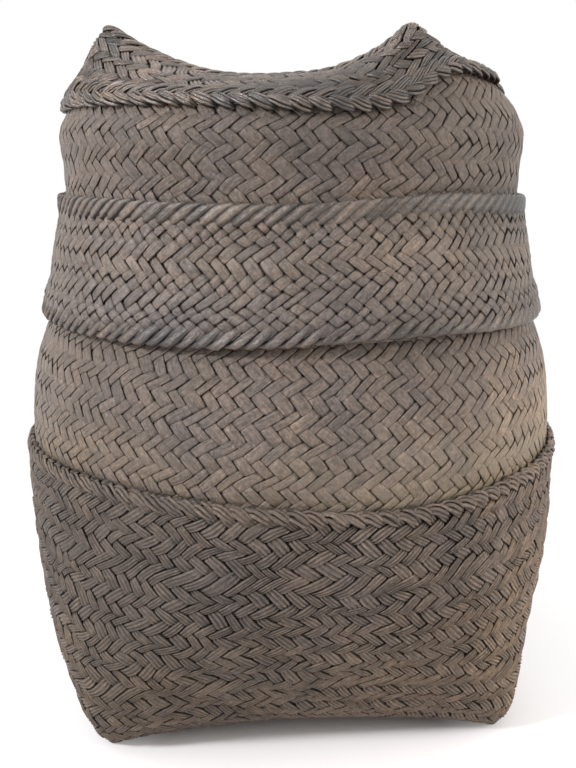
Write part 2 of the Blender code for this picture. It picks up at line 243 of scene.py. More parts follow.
def swelling(azimuth, width, height, spread, out, up):
    """A place where a layer is drawn in or filled out, as a function that moves points."""

    def moved(points):
        x, y, z = np.moveaxis(points, -1, 0)
        radius = np.maximum(np.hypot(x, y), TINY)
        share = nearness(points, azimuth, width, height, spread)
        share *= np.minimum(radius / FADE_RADIUS, 1) ** 2
        grown = 1 + out * share / radius
        return np.stack((x * grown, y * grown, z + up * share), -1)

    return moved


def as_it_is(points):
    """The shape of a layer that is neither drawn in nor filled out."""
    return points


# Azimuth and width in degrees, then height, spread, and the move out and up
FADE_RADIUS = 0.0800
DRAWN_IN = swelling(-35, 38, 0.0600, 0.0420, -0.0070, 0.0)
FILLED_OUT = swelling(2, 36, CAP_EDGE + LID_EDGE_RISE, 0.0140, 0.0030, 0.0070)


def bumps(table, share):
    """Height added round an edge: each row has an azimuth, a width in degrees and a height."""
    total = np.zeros_like(share)
    for azimuth, width, height in table:
        away = (share * 360 - azimuth + 180) % 360 - 180
        total += height * np.exp(-((away / width) ** 2))
    return total


class Skin:
    """A smooth skin through rounded squares.

    Each row holds a side, its height, its roundness and the height of its corners. The lower and
    upper edges can wave up and down, as a hand-made edge does, and trim raises the lower edge
    from the row called edge on.
    """

    def __init__(
        self, rows, low_wave=(), high_wave=(), shape=as_it_is, corners=ALIKE, trim=(), edge=0
    ):
        self.rows = np.array(rows, float)
        self.shape = shape
        self.corners = corners
        side, height, roundness, corner_height = self.rows.T
        corner = side * ((1 - roundness) * ROOT_TWO + roundness)
        steps = np.hypot(np.diff(side), np.diff(height))
        steps += np.hypot(np.diff(corner), np.diff(corner_height))
        self.knots = np.concatenate(([0], np.cumsum(steps / 2)))
        self.length = self.knots[-1]
        self.trim = trim
        self.edge = self.knots[edge]
        self.low_wave = low_wave
        self.high_wave = high_wave

    def perimeter(self, travel):
        """How far it is round the skin."""
        side, _, roundness, _ = smooth_between(self.knots, self.rows, travel).T
        return 2 * side * (SIDES * (1 - roundness) + math.pi * roundness)

    def point(self, share, travel):
        """Points on the skin, at a share of the way round and a distance up it."""
        if self.trim:
            left = np.clip((self.length - travel) / (self.length - self.edge), 0, 1)
            travel = travel + bumps(self.trim, share) * left
        side, height, roundness, corner = np.moveaxis(
            smooth_between(self.knots, self.rows, travel), -1, 0
        )
        x, y = section_point(share, side, np.clip(roundness, LEAST_ROUNDNESS, 1.0))
        z = height + (corner - height) * cornerness(share, self.corners)
        up = travel / self.length
        z += bumps(self.low_wave, share) * (1 - up) + bumps(self.high_wave, share) * up
        return self.shape(np.stack((x, y, z), -1))

    def place(self, share, travel, away):
        """Points on the skin, moved away from it along its outward normal."""
        step = SKIN_STEP
        here = self.point(share, travel)
        east = self.point(share + step, travel) - self.point(share - step, travel)
        low = np.maximum(travel - step, 0)
        high = np.minimum(travel + step, self.length)
        north = self.point(share, high) - self.point(share, low)
        normal = np.cross(east, north)
        normal /= np.maximum(np.linalg.norm(normal, axis=-1, keepdims=True), TINY)
        return here + normal * away[..., None]


class Panel:
    """A square panel that closes a skin: dished or domed, with its corners drawn up or down.

    outward is 1 for a panel that faces up and -1 for one that faces down.
    """

    def __init__(
        self, side, roundness, centre, side_height, corner_height, outward,
        shape=as_it_is, corners=ALIKE,
    ):
        self.side = side
        self.shape = shape
        self.corners = corners
        self.roundness = roundness
        self.heights = (centre, side_height, corner_height)
        self.outward = outward

    def point(self, x, y):
        """Points on the panel, from places on a flat square of its size."""
        reach = np.maximum(np.abs(x), np.abs(y)) + TINY
        quarter = np.round(np.arctan2(y, x) / (math.pi / 2))
        angle = -quarter * math.pi / 2
        across = x * np.sin(angle) + y * np.cos(angle)
        share = (quarter + np.clip(across / reach, -1, 1) / 2) / SIDES
        ratio = reach / self.side
        px, py = section_point(share, self.side, np.full_like(share, self.roundness))
        centre, side_height, corner_height = self.heights
        edge = side_height + (corner_height - side_height) * cornerness(share, self.corners)
        z = centre + (edge - centre) * np.minimum(ratio, 1.2) ** PANEL_POWER
        return self.shape(np.stack((px * ratio, py * ratio, z), -1))

    def place(self, x, y, away):
        """Points on the panel, moved away from it along its outward normal."""
        step = PANEL_STEP
        here = self.point(x, y)
        east = self.point(x + step, y) - self.point(x - step, y)
        north = self.point(x, y + step) - self.point(x, y - step)
        normal = np.cross(east, north)
        normal /= np.linalg.norm(normal, axis=-1, keepdims=True)
        return here + normal * (away * self.outward)[..., None]


def cover_rows(inset=0.0, lean=0.0):
    """The wall of the cover from the edge of its base, or the same wall a little inside it.

    The cover's own edge leans in to lie against the basket.
    """
    base = BELLY * BASE_SHARE
    rows = []
    for rise, out, roundness in COVER_WALL_SHARES:
        side = base + (BELLY - base) * out - inset
        raised = inset * (1 - out)
        side_height = BASE_ARCH + (COVER_TOP - BASE_ARCH) * rise + raised
        rows.append((side, side_height, roundness, COVER_TOP * rise + raised))
    if lean:
        side, height, roundness, _ = rows.pop()
        for below, in_by in ((EDGE_TURN, 0.0), (0.4 * EDGE_TURN, 0.25 * lean), (0.0, lean)):
            rows.append((side - in_by, height - below, roundness, height - below))
    return rows


def basket_rows(inset):
    """The inner basket's wall: inside the cover, then over the shoulder and up the neck."""
    rows = cover_rows(inset)
    reach = BELLY - inset
    rise = MOUTH_TOP - COVER_TOP
    for up, out in SHOULDER_SHARES:
        height = COVER_TOP + rise * up
        rows.append((NECK + (reach - NECK) * out, height, 1.0, height))
    return rows


def cap_rows(inset):
    """The lid's shoulder, from the cap's lower edge to the edge of its top."""
    half = LID_WALL * LID_HALF_SHARE
    rows = []
    for into, side_up, corner_up, roundness in LID_SHOULDER_SHARES:
        lowered = inset * into
        side = LID_WALL - (LID_WALL - half) * into - inset
        side_height = CAP_EDGE + LID_EDGE_RISE * side_up - lowered
        corner_height = CAP_EDGE + (LID_EDGE_RISE + PEAK_RISE) * corner_up - lowered
        rows.append((side, side_height, roundness, corner_height))
    return rows


def ring_rows(line):
    """Rows of a round skin from (radius, height) pairs."""
    return [(radius, height, 1.0, height) for radius, height in line]


def line_from(offsets, radius, height):
    """A line of (radius, height) pairs from its offsets out and up from a place."""
    return [(radius + out, height + up) for out, up in offsets]


def shell_rows():
    """The lid's own plait: skirt, wall, and on under the cap to the edge of its top."""
    low, high = BAND_LOW[2], BAND_HIGH[2]
    rim = SHELL_HIGH[0]
    line = []
    for up, out in FLARE_SHARES:
        line.append((LID_WALL + (rim - LID_WALL) * out, low + (high - low) * up))
    line.append((LID_WALL + LID_SWELL / 2, (high + LID_WALL_TOP) / 2))
    line.append((LID_WALL + LID_SWELL, LID_WALL_TOP))
    return ring_rows(line) + cap_rows(CAP_ROOM)[1:]


def band_rows(outer):
    """The band's face from the rim to the ridge, at a given radius at each end."""
    foot, top = outer
    low, high = BAND_LOW[2], BAND_HIGH[2]
    rows = []
    for up, out in FLARE_SHARES:
        share = (out - FLARE_SHARES[-1][1]) / (1 - FLARE_SHARES[-1][1])
        height = low + (high - low) * up
        rows.append((top + (foot - top) * share, height, 1.0, height))
    return rows


# Steps of the table that a plait is read from, and the least slope of a strip, squared
TRAVEL_STEPS = 400
LEAST_LEAN = 0.3


class Plait:
    """How two families of strips share a skin: rows of crossings, and the drift of each strip.

    A rising strip drifts forwards and a falling one backwards as they climb. Each row holds one
    more crossing of a strip, and both families are as wide as the maker split them.
    """

    def __init__(self, skin, count, rising_width, falling_width, whole=True):
        self.skin = skin
        self.count = count
        # How far each family drifts sideways for every step up, from the widths of its strips
        self.travel = np.linspace(0, skin.length, TRAVEL_STEPS)
        pitch = skin.perimeter(self.travel) / count
        lean = np.sqrt(np.maximum((pitch / rising_width) ** 2 - 1, LEAST_LEAN))
        back = np.sqrt(np.maximum((pitch / falling_width) ** 2 - 1, LEAST_LEAN))
        step = np.gradient(self.travel)
        per_row = (lean + back) / pitch * step
        self.row = np.cumsum(per_row) - per_row[0]
        drift = np.cumsum(lean / pitch * step) - (lean / pitch * step)[0]
        # A whole number of rows, and of strips of drift, so that the plait closes at both ends
        rows = max(round(self.row[-1]), 2)
        self.drift = drift * rows / self.row[-1]
        self.row *= rows / self.row[-1]
        if whole:
            self.drift *= max(round(self.drift[-1]), 1) / self.drift[-1]
        self.rows = rows

    def travel_at(self, row):
        """The distance up the skin at a row."""
        return np.interp(row, self.row, self.travel)

    def row_at(self, travel):
        """The row at a distance up the skin."""
        return np.interp(travel, self.travel, self.row)

    def drift_at(self, row):
        """How far round a strip has drifted at a row, in strips."""
        return np.interp(row, self.row, self.drift)


# Cross-sections of a strip, each a list of points: the place across it as a share of its pitch,
# and the height in metres. Crown is how far its edges drop, and thick how thick it is there.
def flat_section(width, crown, thick):
    """A split strip with a gently crowned face and a flat back."""
    half = width / 2
    return (
        (-half, -crown), (-0.72 * half, -0.28 * crown), (0, 0),
        (0.72 * half, -0.28 * crown), (half, -crown),
        (0.94 * half, -crown - thick), (-0.94 * half, -crown - thick),
    )


def plain_section(width, crown, thick):
    """The same strip with fewer faces, for a layer that is mostly out of sight."""
    half = width / 2
    return (
        (-half, -crown), (-0.5 * half, 0), (0.5 * half, 0),
        (half, -crown), (half, -crown - thick), (-half, -crown - thick),
    )


def stranded_section(width, crown, thick, groove):
    """A few narrow strands laid side by side as one strip."""
    half = width / 2
    return (
        (-half, -crown), (-0.72 * half, 0), (-0.36 * half, -groove), (0, 0.1 * crown),
        (0.36 * half, -groove), (0.72 * half, 0), (half, -crown),
        (0.9 * half, -crown - thick), (-0.9 * half, -crown - thick),
    )


def round_section(width, height, sides):
    """An oval cord."""
    turns = np.arange(sides) * 2 * math.pi / sides
    return tuple(zip(np.sin(turns) * width / 2, np.cos(turns) * height / 2))


# How far inside a run its shoulders sit, and how near a strip's end no ring goes, in crossings
SHOULDER_REACH = 0.22
END_MARGIN = 0.08


def run_stations(runs, rows, shoulder):
    """Where the rings of a strip go along its length, and how high each rides there.

    Runs are the numbers of crossings that the strip passes over and under in turn, and shoulder
    is the share of its height that it has just inside each end of a run. Returns the stations,
    their height from -1 to 1 and the tile that each belongs to.
    """
    reach = SHOULDER_REACH
    spots = []
    low, side, tile = -0.5, 1.0, 0
    while low < rows:
        length = runs[tile % len(runs)]
        high = low + length
        spots.append((low, 0.0, tile))
        spots.append((low + reach, shoulder * side, tile + reach / length))
        middles = range(1, length) if length > 1 else (0.5,)
        spots.extend((low + middle, side, tile + middle / length) for middle in middles)
        spots.append((high - reach, shoulder * side, tile + 1 - reach / length))
        low, side, tile = high, -side, tile + 1
    spots.append((low, 0.0, tile))
    table = np.array(spots)
    ends = np.array([0.0, float(rows)])
    caps = np.stack((ends, *(np.interp(ends, table[:, 0], table[:, k]) for k in (1, 2))), -1)
    inside = table[(table[:, 0] > END_MARGIN) & (table[:, 0] < rows - END_MARGIN)]
    return np.concatenate((caps[:1], inside, caps[1:])).T


def deselect():
    """Leaves edit mode and clears the selection, so that an operator acts on one piece."""
    if bpy.context.object and bpy.context.object.mode != "OBJECT":
        bpy.ops.object.mode_set(mode="OBJECT")
    bpy.ops.object.select_all(action="DESELECT")


def open_piece(piece):
    """Selects one piece alone and goes into edit mode on it."""
    deselect()
    piece.select_set(True)
    bpy.context.view_layer.objects.active = piece
    bpy.ops.object.mode_set(mode="EDIT")


def turn_outwards(piece):
    """Points every face of a closed piece outwards."""
    open_piece(piece)
    bpy.ops.mesh.select_all(action="SELECT")
    bpy.ops.mesh.normals_make_consistent(inside=False)
    bpy.ops.object.mode_set(mode="OBJECT")


def flat_strip(name, section, rings):
    """One flat strip: its cross-section, drawn out along Y with rings one apart."""
    deselect()
    bpy.ops.mesh.primitive_circle_add(vertices=len(section), fill_type="NGON")
    strip = bpy.context.object
    strip.name = name
    for vertex, (across, height) in zip(strip.data.vertices, section):
        vertex.co = (across, 0, height)
    bpy.ops.object.mode_set(mode="EDIT")
    bpy.ops.mesh.select_mode(type="FACE")
    bpy.ops.mesh.select_all(action="SELECT")
    bpy.ops.mesh.extrude_repeat(steps=rings - 1, offset=(0, 1, 0))
    bpy.ops.object.mode_set(mode="OBJECT")
    turn_outwards(strip)
    return strip


def lay_copies(piece, count, way=(1, 0, 0)):
    """Copies of the piece, one step apart, as one mesh."""
    copies = piece.modifiers.new("copies", "ARRAY")
    copies.count = count
    copies.use_relative_offset = False
    copies.use_constant_offset = True
    copies.constant_offset_displace = way
    bpy.ops.object.modifier_apply(modifier=copies.name)
    return read_points(piece)


def read_points(piece):
    """The places of a piece's points, one row for each."""
    points = np.empty(len(piece.data.vertices) * 3)
    piece.data.vertices.foreach_get("co", points)
    return points.reshape(-1, 3)


def write_points(piece, points):
    """Puts a piece's points in new places."""
    piece.data.vertices.foreach_set("co", points.ravel())
    piece.data.update()


def map_strips(piece, across, along):
    """Gives the piece a UV map: U counts the strips and goes across each, V counts the tiles."""
    mesh = piece.data
    corners = np.empty(len(mesh.loops), dtype=np.int32)
    mesh.loops.foreach_get("vertex_index", corners)
    layer = mesh.uv_layers[0] if mesh.uv_layers else mesh.uv_layers.new(name="strips")
    layer.name = "strips"
    pairs = np.stack((across[corners], along[corners]), -1)
    layer.uv.foreach_set("vector", pairs.astype(np.float32).ravel())


def give_relief(piece, relief):
    """How far each point stands out of the plait, from nought in the crevices to one."""
    values = np.clip(relief, 0, 1).astype(np.float32)
    piece.data.attributes.new("relief", "FLOAT", "POINT").data.foreach_set("value", values)


def give_shade_and_age(piece):
    """How much lighter and how much warmer each point is painted, by place: painted shade and
    light, and old stains, bleaching and dust.
    """
    points = read_points(piece)
    shade_and_age = np.ones(len(points))
    warmth = np.zeros(len(points))
    for azimuth, width, height, spread, lighter, warmer in SHADE_AND_STAINS:
        near = nearness(points, azimuth, width, height, spread)
        shade_and_age += lighter * near
        warmth += warmer * near
    for name, values in (("shade_and_age", shade_and_age), ("warmth", np.clip(warmth, -1, 1))):
        layer = piece.data.attributes.new(name, "FLOAT", "POINT")
        layer.data.foreach_set("value", values.astype(np.float32))


def finish_piece(piece, finish, body, stands_for=()):
    """Smooths and colours a piece and attaches it to its body; the lid's pieces are turned to
    where it sits.
    """
    if body == "lid":
        points = read_points(piece)
        x, y = points[:, 0].copy(), points[:, 1].copy()
        points[:, 0] = x * math.cos(LID_TURN) - y * math.sin(LID_TURN)
        points[:, 1] = x * math.sin(LID_TURN) + y * math.cos(LID_TURN)
        write_points(piece, points)
    # Painted shade and light, old stains and dust, by place
    give_shade_and_age(piece)
    piece.data.polygons.foreach_set("use_smooth", np.ones(len(piece.data.polygons), bool))
    piece.data.materials.clear()
    piece.data.materials.append(finish)
    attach(piece, body)
    if stands_for:
        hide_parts(*stands_for)


# Unevenness: a strip's edge and its waver as shares of its pitch, a tile's height and its tilt as
# shares of the lift, how far from an edge the strips stop wandering, and the waves of close and
# of broad lumps, as turns round the layer and as paces up it
STRIP_EDGE = 0.08
STRIP_WAVER = 0.05
STRIP_PACE = (0.25, 0.6)
TILE_HEIGHT = 0.25
TILE_TILT = 0.5
CALM_EDGE = 0.012
CLOSE_TURNS, CLOSE_PACES = (5, 26), (60, 240)
BROAD_TURNS, BROAD_PACES = (2, 11), (15, 60)

# Share of its thickness that a strip has where it dives under another
DIVING_THICKNESS = 0.45


class Hand:
    """The unevenness of hand work, the same each run: strip widths, waver and tile height."""

    def __init__(self, seed, strips, tiles, rough=1.0):
        source = np.random.default_rng(seed)
        width, height = STRIP_EDGE * rough, TILE_HEIGHT * rough
        self.edge = source.uniform(-width, width, strips)
        self.phase = source.uniform(0, 2 * math.pi, strips)
        self.pace = source.uniform(*STRIP_PACE, strips)
        self.waver = STRIP_WAVER * rough
        self.height = source.uniform(1 - height, 1 + height, (strips, tiles + 2))
        self.tilt = source.uniform(-1, 1, (strips, tiles + 2))

    def edge_at(self, strip, row):
        """How far a strip's left edge is out of its place, as a share of the pitch."""
        strip = strip % len(self.edge)
        waver = np.sin(self.pace[strip] * row + self.phase[strip])
        return self.edge[strip] + self.waver * waver

    def tile(self, table, strip, tile):
        """Reads a table of tiles for each point."""
        columns = table.shape[1] - 1
        return table[strip % table.shape[0], np.clip(tile.astype(int), 0, columns)]


def unevenness(share, travel, seed, turns, paces, waves=5):
    """Soft lumps and hollows over a whole layer, from about -1 to 1."""
    source = np.random.default_rng(seed)
    total = np.zeros_like(share)
    for _ in range(waves):
        turn = source.integers(*turns) * source.choice((-1, 1))
        pace = source.uniform(*paces)
        phase = source.uniform(0, 2 * math.pi)
        total += np.sin(turn * 2 * math.pi * share + pace * travel + phase)
    return total / math.sqrt(waves)


def strip_depth(section):
    """How thick a strip is over all."""
    heights = [height for _, height in section]
    return max(heights) - min(heights)


class Style:
    """How a plait is made.

    It holds a strip's section, its runs over and under, and how far it lifts. Inset sinks the
    layer into its skin, bulge and course give it lumps and ridges, narrow and shoulder shape each
    tile, and wander and rough make it uneven.
    """

    def __init__(
        self, section, runs, lift, inset, bulge, narrow=0.92, wander=0.0008, course=0.0,
        shoulder=0.82, rough=1.0,
    ):
        self.section = section
        self.runs = runs
        self.lift = lift
        self.inset = inset
        self.bulge = bulge
        self.narrow = narrow
        self.wander = wander
        self.course = course
        self.shoulder = shoulder
        self.rough = rough

    def with_section(self, section):
        """The same plait from another strip."""
        return Style(
            section, self.runs, self.lift, self.inset, self.bulge, self.narrow, self.wander,
            self.course, self.shoulder, self.rough,
        )


def thin_where_diving(points, height):
    """The heights of a strip's section, thinner where the strip dives."""
    return points[:, 2] * (DIVING_THICKNESS + (1 - DIVING_THICKNESS) * np.abs(height))


def plait_relief(points, height, style):
    """How far each point stands out of its plait, from nought to one."""
    depth = strip_depth(style.section)
    risen = 2 * points[:, 2] + depth + (height + 1) * style.lift
    return risen / (depth + 2 * style.lift)


def lay_family(name, plait, style, family, seed, rows=None, part=(0, 1)):
    """One family of strips of a plait, wrapped onto its skin. family is 1 rising, -1 falling.

    rows keeps only some rows of the plait, and part is one share of its strips, which splits a
    big piece.
    """
    low, high = rows or (0, plait.rows)
    count = plait.count // part[1]
    stations, heights, tiles = run_stations(style.runs, plait.rows, style.shoulder)
    keep = (stations > low - 1) & (stations < high + 1)
    stations, heights, tiles = stations[keep], heights[keep], tiles[keep]
    piece = flat_strip(name, style.section, len(stations))
    points = lay_copies(piece, count)
    ring = np.round(points[:, 1]).astype(int)
    strip = np.floor(points[:, 0] + 0.5).astype(int)
    across = points[:, 0] - strip
    strip += part[0] * count

    # Where each point lies in the plait: its row, and how far round it is
    row, height, tile = stations[ring], heights[ring] * family, tiles[ring]
    skew = np.clip(row, 0, 1) * np.clip(plait.rows - row, 0, 1)
    hand = Hand(seed + family, plait.count, int(plait.rows), style.rough)
    squeeze = style.narrow + (1 - style.narrow) * np.abs(height)
    left = hand.edge_at(strip, row)
    right = hand.edge_at(strip + 1, row)
    sideways = left + (across * squeeze + 0.5) * (1 + right - left) - 0.5
    rowed = row - family * sideways * skew
    turn = strip + 0.5 + sideways + plait.drift_at(rowed) - (rowed if family < 0 else 0)
    share = turn / plait.count
    travel = plait.travel_at(rowed)

    # Strips wander a little, but not at an edge
    edge_gap = np.minimum(travel, plait.skin.length - travel)
    calm = np.clip(edge_gap / CALM_EDGE, 0, 1) * style.wander
    reach = plait.skin.perimeter(travel)
    aside = unevenness(share, travel, seed, CLOSE_TURNS, CLOSE_PACES)
    above = unevenness(share, travel, seed + 7, CLOSE_TURNS, CLOSE_PACES)
    share, travel = share + calm * aside / reach, travel + calm * above

    # How far out each point rides: over or under, tilted, and on the layer's lumps and ridges
    ride = height * style.lift * hand.tile(hand.height, strip, tile)
    ride += hand.tile(hand.tilt, strip, tile) * across * style.lift * TILE_TILT
    lumps = style.bulge * unevenness(share, travel, seed, BROAD_TURNS, BROAD_PACES) / 2
    course = plait.row_at(travel) / sum(style.runs[:2])
    lumps += style.course * np.abs(np.sin(math.pi * course))
    away = thin_where_diving(points, height) + ride + lumps - style.inset
    write_points(piece, plait.skin.place(share, travel, away))
    map_strips(piece, strip + 0.5 + across, tile)
    give_relief(piece, plait_relief(points, height, style))
    return piece


def lay_plait(name, plait, style, finish, body, stands_for, seed, parts=1, rows=None):
    """Both families of a plait as finished pieces, each in a number of parts."""
    for word, family in FAMILIES:
        for part in range(parts):
            label = f"{name}_{word}" + (f"_{part + 1}" if parts > 1 else "")
            piece = lay_family(label, plait, style, family, seed, rows, (part, parts))
            finish_piece(piece, finish, body, stands_for)


def clip_to_square(piece, strips):
    """Cuts flat strips laid corner to corner to the outline of a square panel."""
    open_piece(piece)
    for corner, slope in (
        ((0, 0), (1, 1)), ((0, 0), (-1, 1)),
        ((0, strips), (1, -1)), ((0, strips), (-1, -1)),
    ):
        bpy.ops.mesh.select_all(action="SELECT")
        bpy.ops.mesh.bisect(
            plane_co=(corner[0], corner[1], 0), plane_no=(slope[0], slope[1], 0),
            use_fill=True, clear_inner=True,
        )
    bpy.ops.object.mode_set(mode="OBJECT")


# How far a strip of a panel takes to climb over its neighbour, in crossings
PANEL_RAMP = 0.26


def lay_panel(name, panel, count, style, finish, body, seed):
    """A square panel of 2/2 twill whose strips run from edge to edge at 45 degrees."""
    half = count // SIDES
    strips = 2 * half
    marks = {0.0, float(strips)}
    for crossing in range(strips):
        marks.update((crossing + PANEL_RAMP, crossing + 1 - PANEL_RAMP))
    stations = np.array(sorted(marks))
    for word, family in FAMILIES:
        piece = flat_strip(f"{name}_{word}", style.section, len(stations))
        points = lay_copies(piece, strips)
        points[:, 0] += 0.5 - half
        points[:, 1] = stations[np.round(points[:, 1]).astype(int)]
        write_points(piece, points)
        clip_to_square(piece, strips)
        points = read_points(piece)

        # Which crossing each point is at, and how high its strip rides there
        strip = np.floor(points[:, 0]).astype(int)
        across = points[:, 0] - strip - 0.5
        row = points[:, 1]
        crossing = np.floor(np.clip(row, 0, strips - 0.001)).astype(int)
        inside = row - crossing
        here, before, after = (
            np.where((strip + crossing + step) % 4 < 2, family, -family) for step in (0, -1, 1)
        )
        ramp_in = np.where(before == here, 1.0, np.clip(inside / PANEL_RAMP, 0, 1))
        ramp_out = np.where(after == here, 1.0, np.clip((1 - inside) / PANEL_RAMP, 0, 1))
        height = here * ramp_in * ramp_out

        # The panel's corner-to-corner strips turned square, and set on it
        hand = Hand(seed + family, strips + 1, strips)
        index = strip + half
        pitch = 2 * panel.side / strips
        x = (row + points[:, 0]) * pitch - panel.side
        y = ((row - points[:, 0]) * pitch - panel.side) * family
        tile = (crossing + strip % 2) // 2
        ride = height * style.lift * hand.tile(hand.height, index, tile)
        away = thin_where_diving(points, height) + ride - style.inset
        write_points(piece, panel.place(x, y, away))
        map_strips(piece, index + 0.5 + across, tile + 0.5)
        give_relief(piece, plait_relief(points, height, style))
        turn_outwards(piece)
        finish_piece(piece, finish, body)


# A fold's strips: the rings along each, the share of the path where they go under the plait,
# how far they slant there as a share of their pitch, and how unevenly they lie
FOLD_RINGS = 18
FOLD_CROWN = 0.00085
FOLD_THICK = 0.0005
TUCK_SHARE = 1 / 4.5
TUCK_SLANT = 0.75
FOLD_STRAY = 0.0003


def lay_fold(
    name, line, wave, count, turns, width, seed, shown_end, shingle=0.0015, tuck=0.0012
):
    """Strips turned over an edge: a row of slanting strips, each lapped over the next.

    line is the (radius, height) path over the edge, with the outer face rising, and shown_end is
    the end of the path, 0 or 1, where the strips go under the plait in steps.
    """
    skin = Skin(ring_rows(line), wave, wave)
    section = flat_section(width, FOLD_CROWN, FOLD_THICK)
    piece = flat_strip(name, section, FOLD_RINGS)
    points = lay_copies(piece, count)
    strip = np.floor(points[:, 0] + 0.5).astype(int)
    across = points[:, 0] - strip
    along = np.round(points[:, 1]) / (FOLD_RINGS - 1)

    # Near the shown end the strips slant and go under the plait
    hand = Hand(seed, count, 2)
    near = np.clip(1 - np.abs(along - shown_end) / TUCK_SHARE, 0, 1)
    pitch = skin.perimeter(np.array(skin.length / 2)) / count
    left, right = hand.edge_at(strip, 0), hand.edge_at(strip + 1, 0)
    sideways = left + (across + 0.5) * (1 + right - left) - 0.5
    travel = along * skin.length - across * pitch * TUCK_SLANT * near
    share = (strip + 0.5 + sideways + turns * travel / skin.length) / count

    # Each strip is lapped over the next; its hidden edges and its end where it goes under the
    # plait get low relief, which the material paints as shade
    lapped = shingle * across * (1 - 0.6 * near)
    tucked = np.maximum(np.clip(-across * 2, 0, 1), np.clip((across - 0.36) * 6, 0, 1))
    away = points[:, 2] + lapped - tuck * near**2
    away += FOLD_STRAY * hand.tile(hand.tilt, strip, along)
    write_points(piece, skin.place(share, np.clip(travel, 0, skin.length), away))
    map_strips(piece, strip + 0.5 + across - (width - 1) / 2, along * 0.98 + 0.01)
    depth = strip_depth(section)
    risen = 0.15 + 0.85 * (points[:, 2] + depth) / depth
    give_relief(piece, risen - 0.35 * near - 0.45 * tucked)
    return piece


# A braid's cords: the rings and sides of each, how unevenly they are drawn out, how far they
# stray across, along and out, and how far apart they lie before they are bent
CORD_RINGS = 15
CORD_SIDES = 6
CORD_STRETCH = 0.10
CORD_STRAY = 0.0003
CORD_STRAY_ALONG = 0.0004
CORD_STRAY_OUT = 0.00025
CORD_LOOK_AHEAD = 0.02
CORD_APART = 10


def lay_cords(name, skin, level, count, path, cords, cord_size, seed):
    """A braided edge: bundles of cords, each following one path over its neighbours.

    path is a list of (forward, up, out) in metres from each bundle's place on the skin at the
    level, and cords lists the (sideways, out) place of each cord in a bundle.
    """
    path = np.array(path)
    width, thick = cord_size
    piece = flat_strip(name, round_section(width, thick, CORD_SIDES), CORD_RINGS)
    lay_copies(piece, len(cords), (0, 0, CORD_APART))
    points = lay_copies(piece, count)
    bundle = np.round(points[:, 0]).astype(int)
    cord = np.round(points[:, 2] / CORD_APART).astype(int)
    along = np.round(points[:, 1]) / (CORD_RINGS - 1)
    across = points[:, 0] - bundle
    height = points[:, 2] - CORD_APART * cord

    # The path, drawn out and strayed from a little differently by each bundle and cord
    knots = np.linspace(0, 1, len(path))
    source = np.random.default_rng(seed)
    stretch = 1 + source.uniform(-CORD_STRETCH, CORD_STRETCH, (count, 1, 2))[bundle, 0]
    stray = source.uniform(-1, 1, (count, len(cords), 4))[bundle, cord]
    centre = smooth_between(knots, path, along)
    ahead = smooth_between(knots, path, np.minimum(along + CORD_LOOK_AHEAD, 1))
    behind = smooth_between(knots, path, np.maximum(along - CORD_LOOK_AHEAD, 0))
    heading = np.arctan2((ahead - behind)[:, 1], (ahead - behind)[:, 0])

    # Cords are thin at both ends, and lie close together there
    taper = np.minimum(1, 0.30 + 4 * np.minimum(along, 1 - along))
    gather = 0.40 + 0.60 * np.sqrt(np.sin(math.pi * np.clip(along, 0, 1)))
    place = np.array(cords)[cord]
    aside = across * taper + place[:, 0] * gather + CORD_STRAY * stray[:, 0]
    forward = centre[:, 0] * stretch[:, 0] - np.sin(heading) * aside
    forward += CORD_STRAY_ALONG * stray[:, 1]
    up = centre[:, 1] * stretch[:, 1] + np.cos(heading) * aside
    up += CORD_STRAY_ALONG * stray[:, 2]
    out = centre[:, 2] + height * taper + place[:, 1] + CORD_STRAY_OUT * stray[:, 3]
    travel = level + up
    share = (bundle + 0.5) / count + forward / skin.perimeter(travel)
    write_points(piece, skin.place(share, travel, out))
    map_strips(piece, bundle * len(cords) + cord + 0.5 + across / width * 0.9, along)
    # Low relief at each cord's flanks, its inner side and its tail, where it goes under its
    # neighbour, which the material paints as shade
    ends = 0.4 + 0.6 * np.clip((1 - along) * 5, 0, 1)
    round_cord = np.abs(across) / (width / 2)
    give_relief(piece, (0.15 + 0.85 * (height / thick + 0.5)) * ends - 0.1 * round_cord)
    return piece


# A hoop before it is bent: the segments round it and round its cane, the cane's radius as a share
# of the hoop's, and how many tiles its UV map counts
HOOP_SEGMENTS = 180
HOOP_SIDES = 8
HOOP_SHARE = 0.25
HOOP_TILES = 40


def lay_hoop(name, skin, travel, away, radius):
    """A round cane bent into a hoop that follows a skin's edge."""
    deselect()
    bpy.ops.mesh.primitive_torus_add(
        major_segments=HOOP_SEGMENTS, minor_segments=HOOP_SIDES, major_radius=1,
        minor_radius=HOOP_SHARE,
    )
    piece = bpy.context.object
    piece.name = name
    points = read_points(piece)
    share = np.arctan2(points[:, 1], points[:, 0]) / (2 * math.pi)
    reach = np.hypot(points[:, 0], points[:, 1]) - 1
    spot = skin.place(share, np.full_like(share, travel), np.full_like(share, away))
    turn = share * 2 * math.pi
    outward = np.stack((np.cos(turn), np.sin(turn)), -1)
    scale = radius / HOOP_SHARE
    spot[:, :2] += outward * (reach * scale)[:, None]
    spot[:, 2] += points[:, 2] * scale
    write_points(piece, spot)
    map_strips(piece, np.full_like(share, 0.5), share * HOOP_TILES)
    return piece


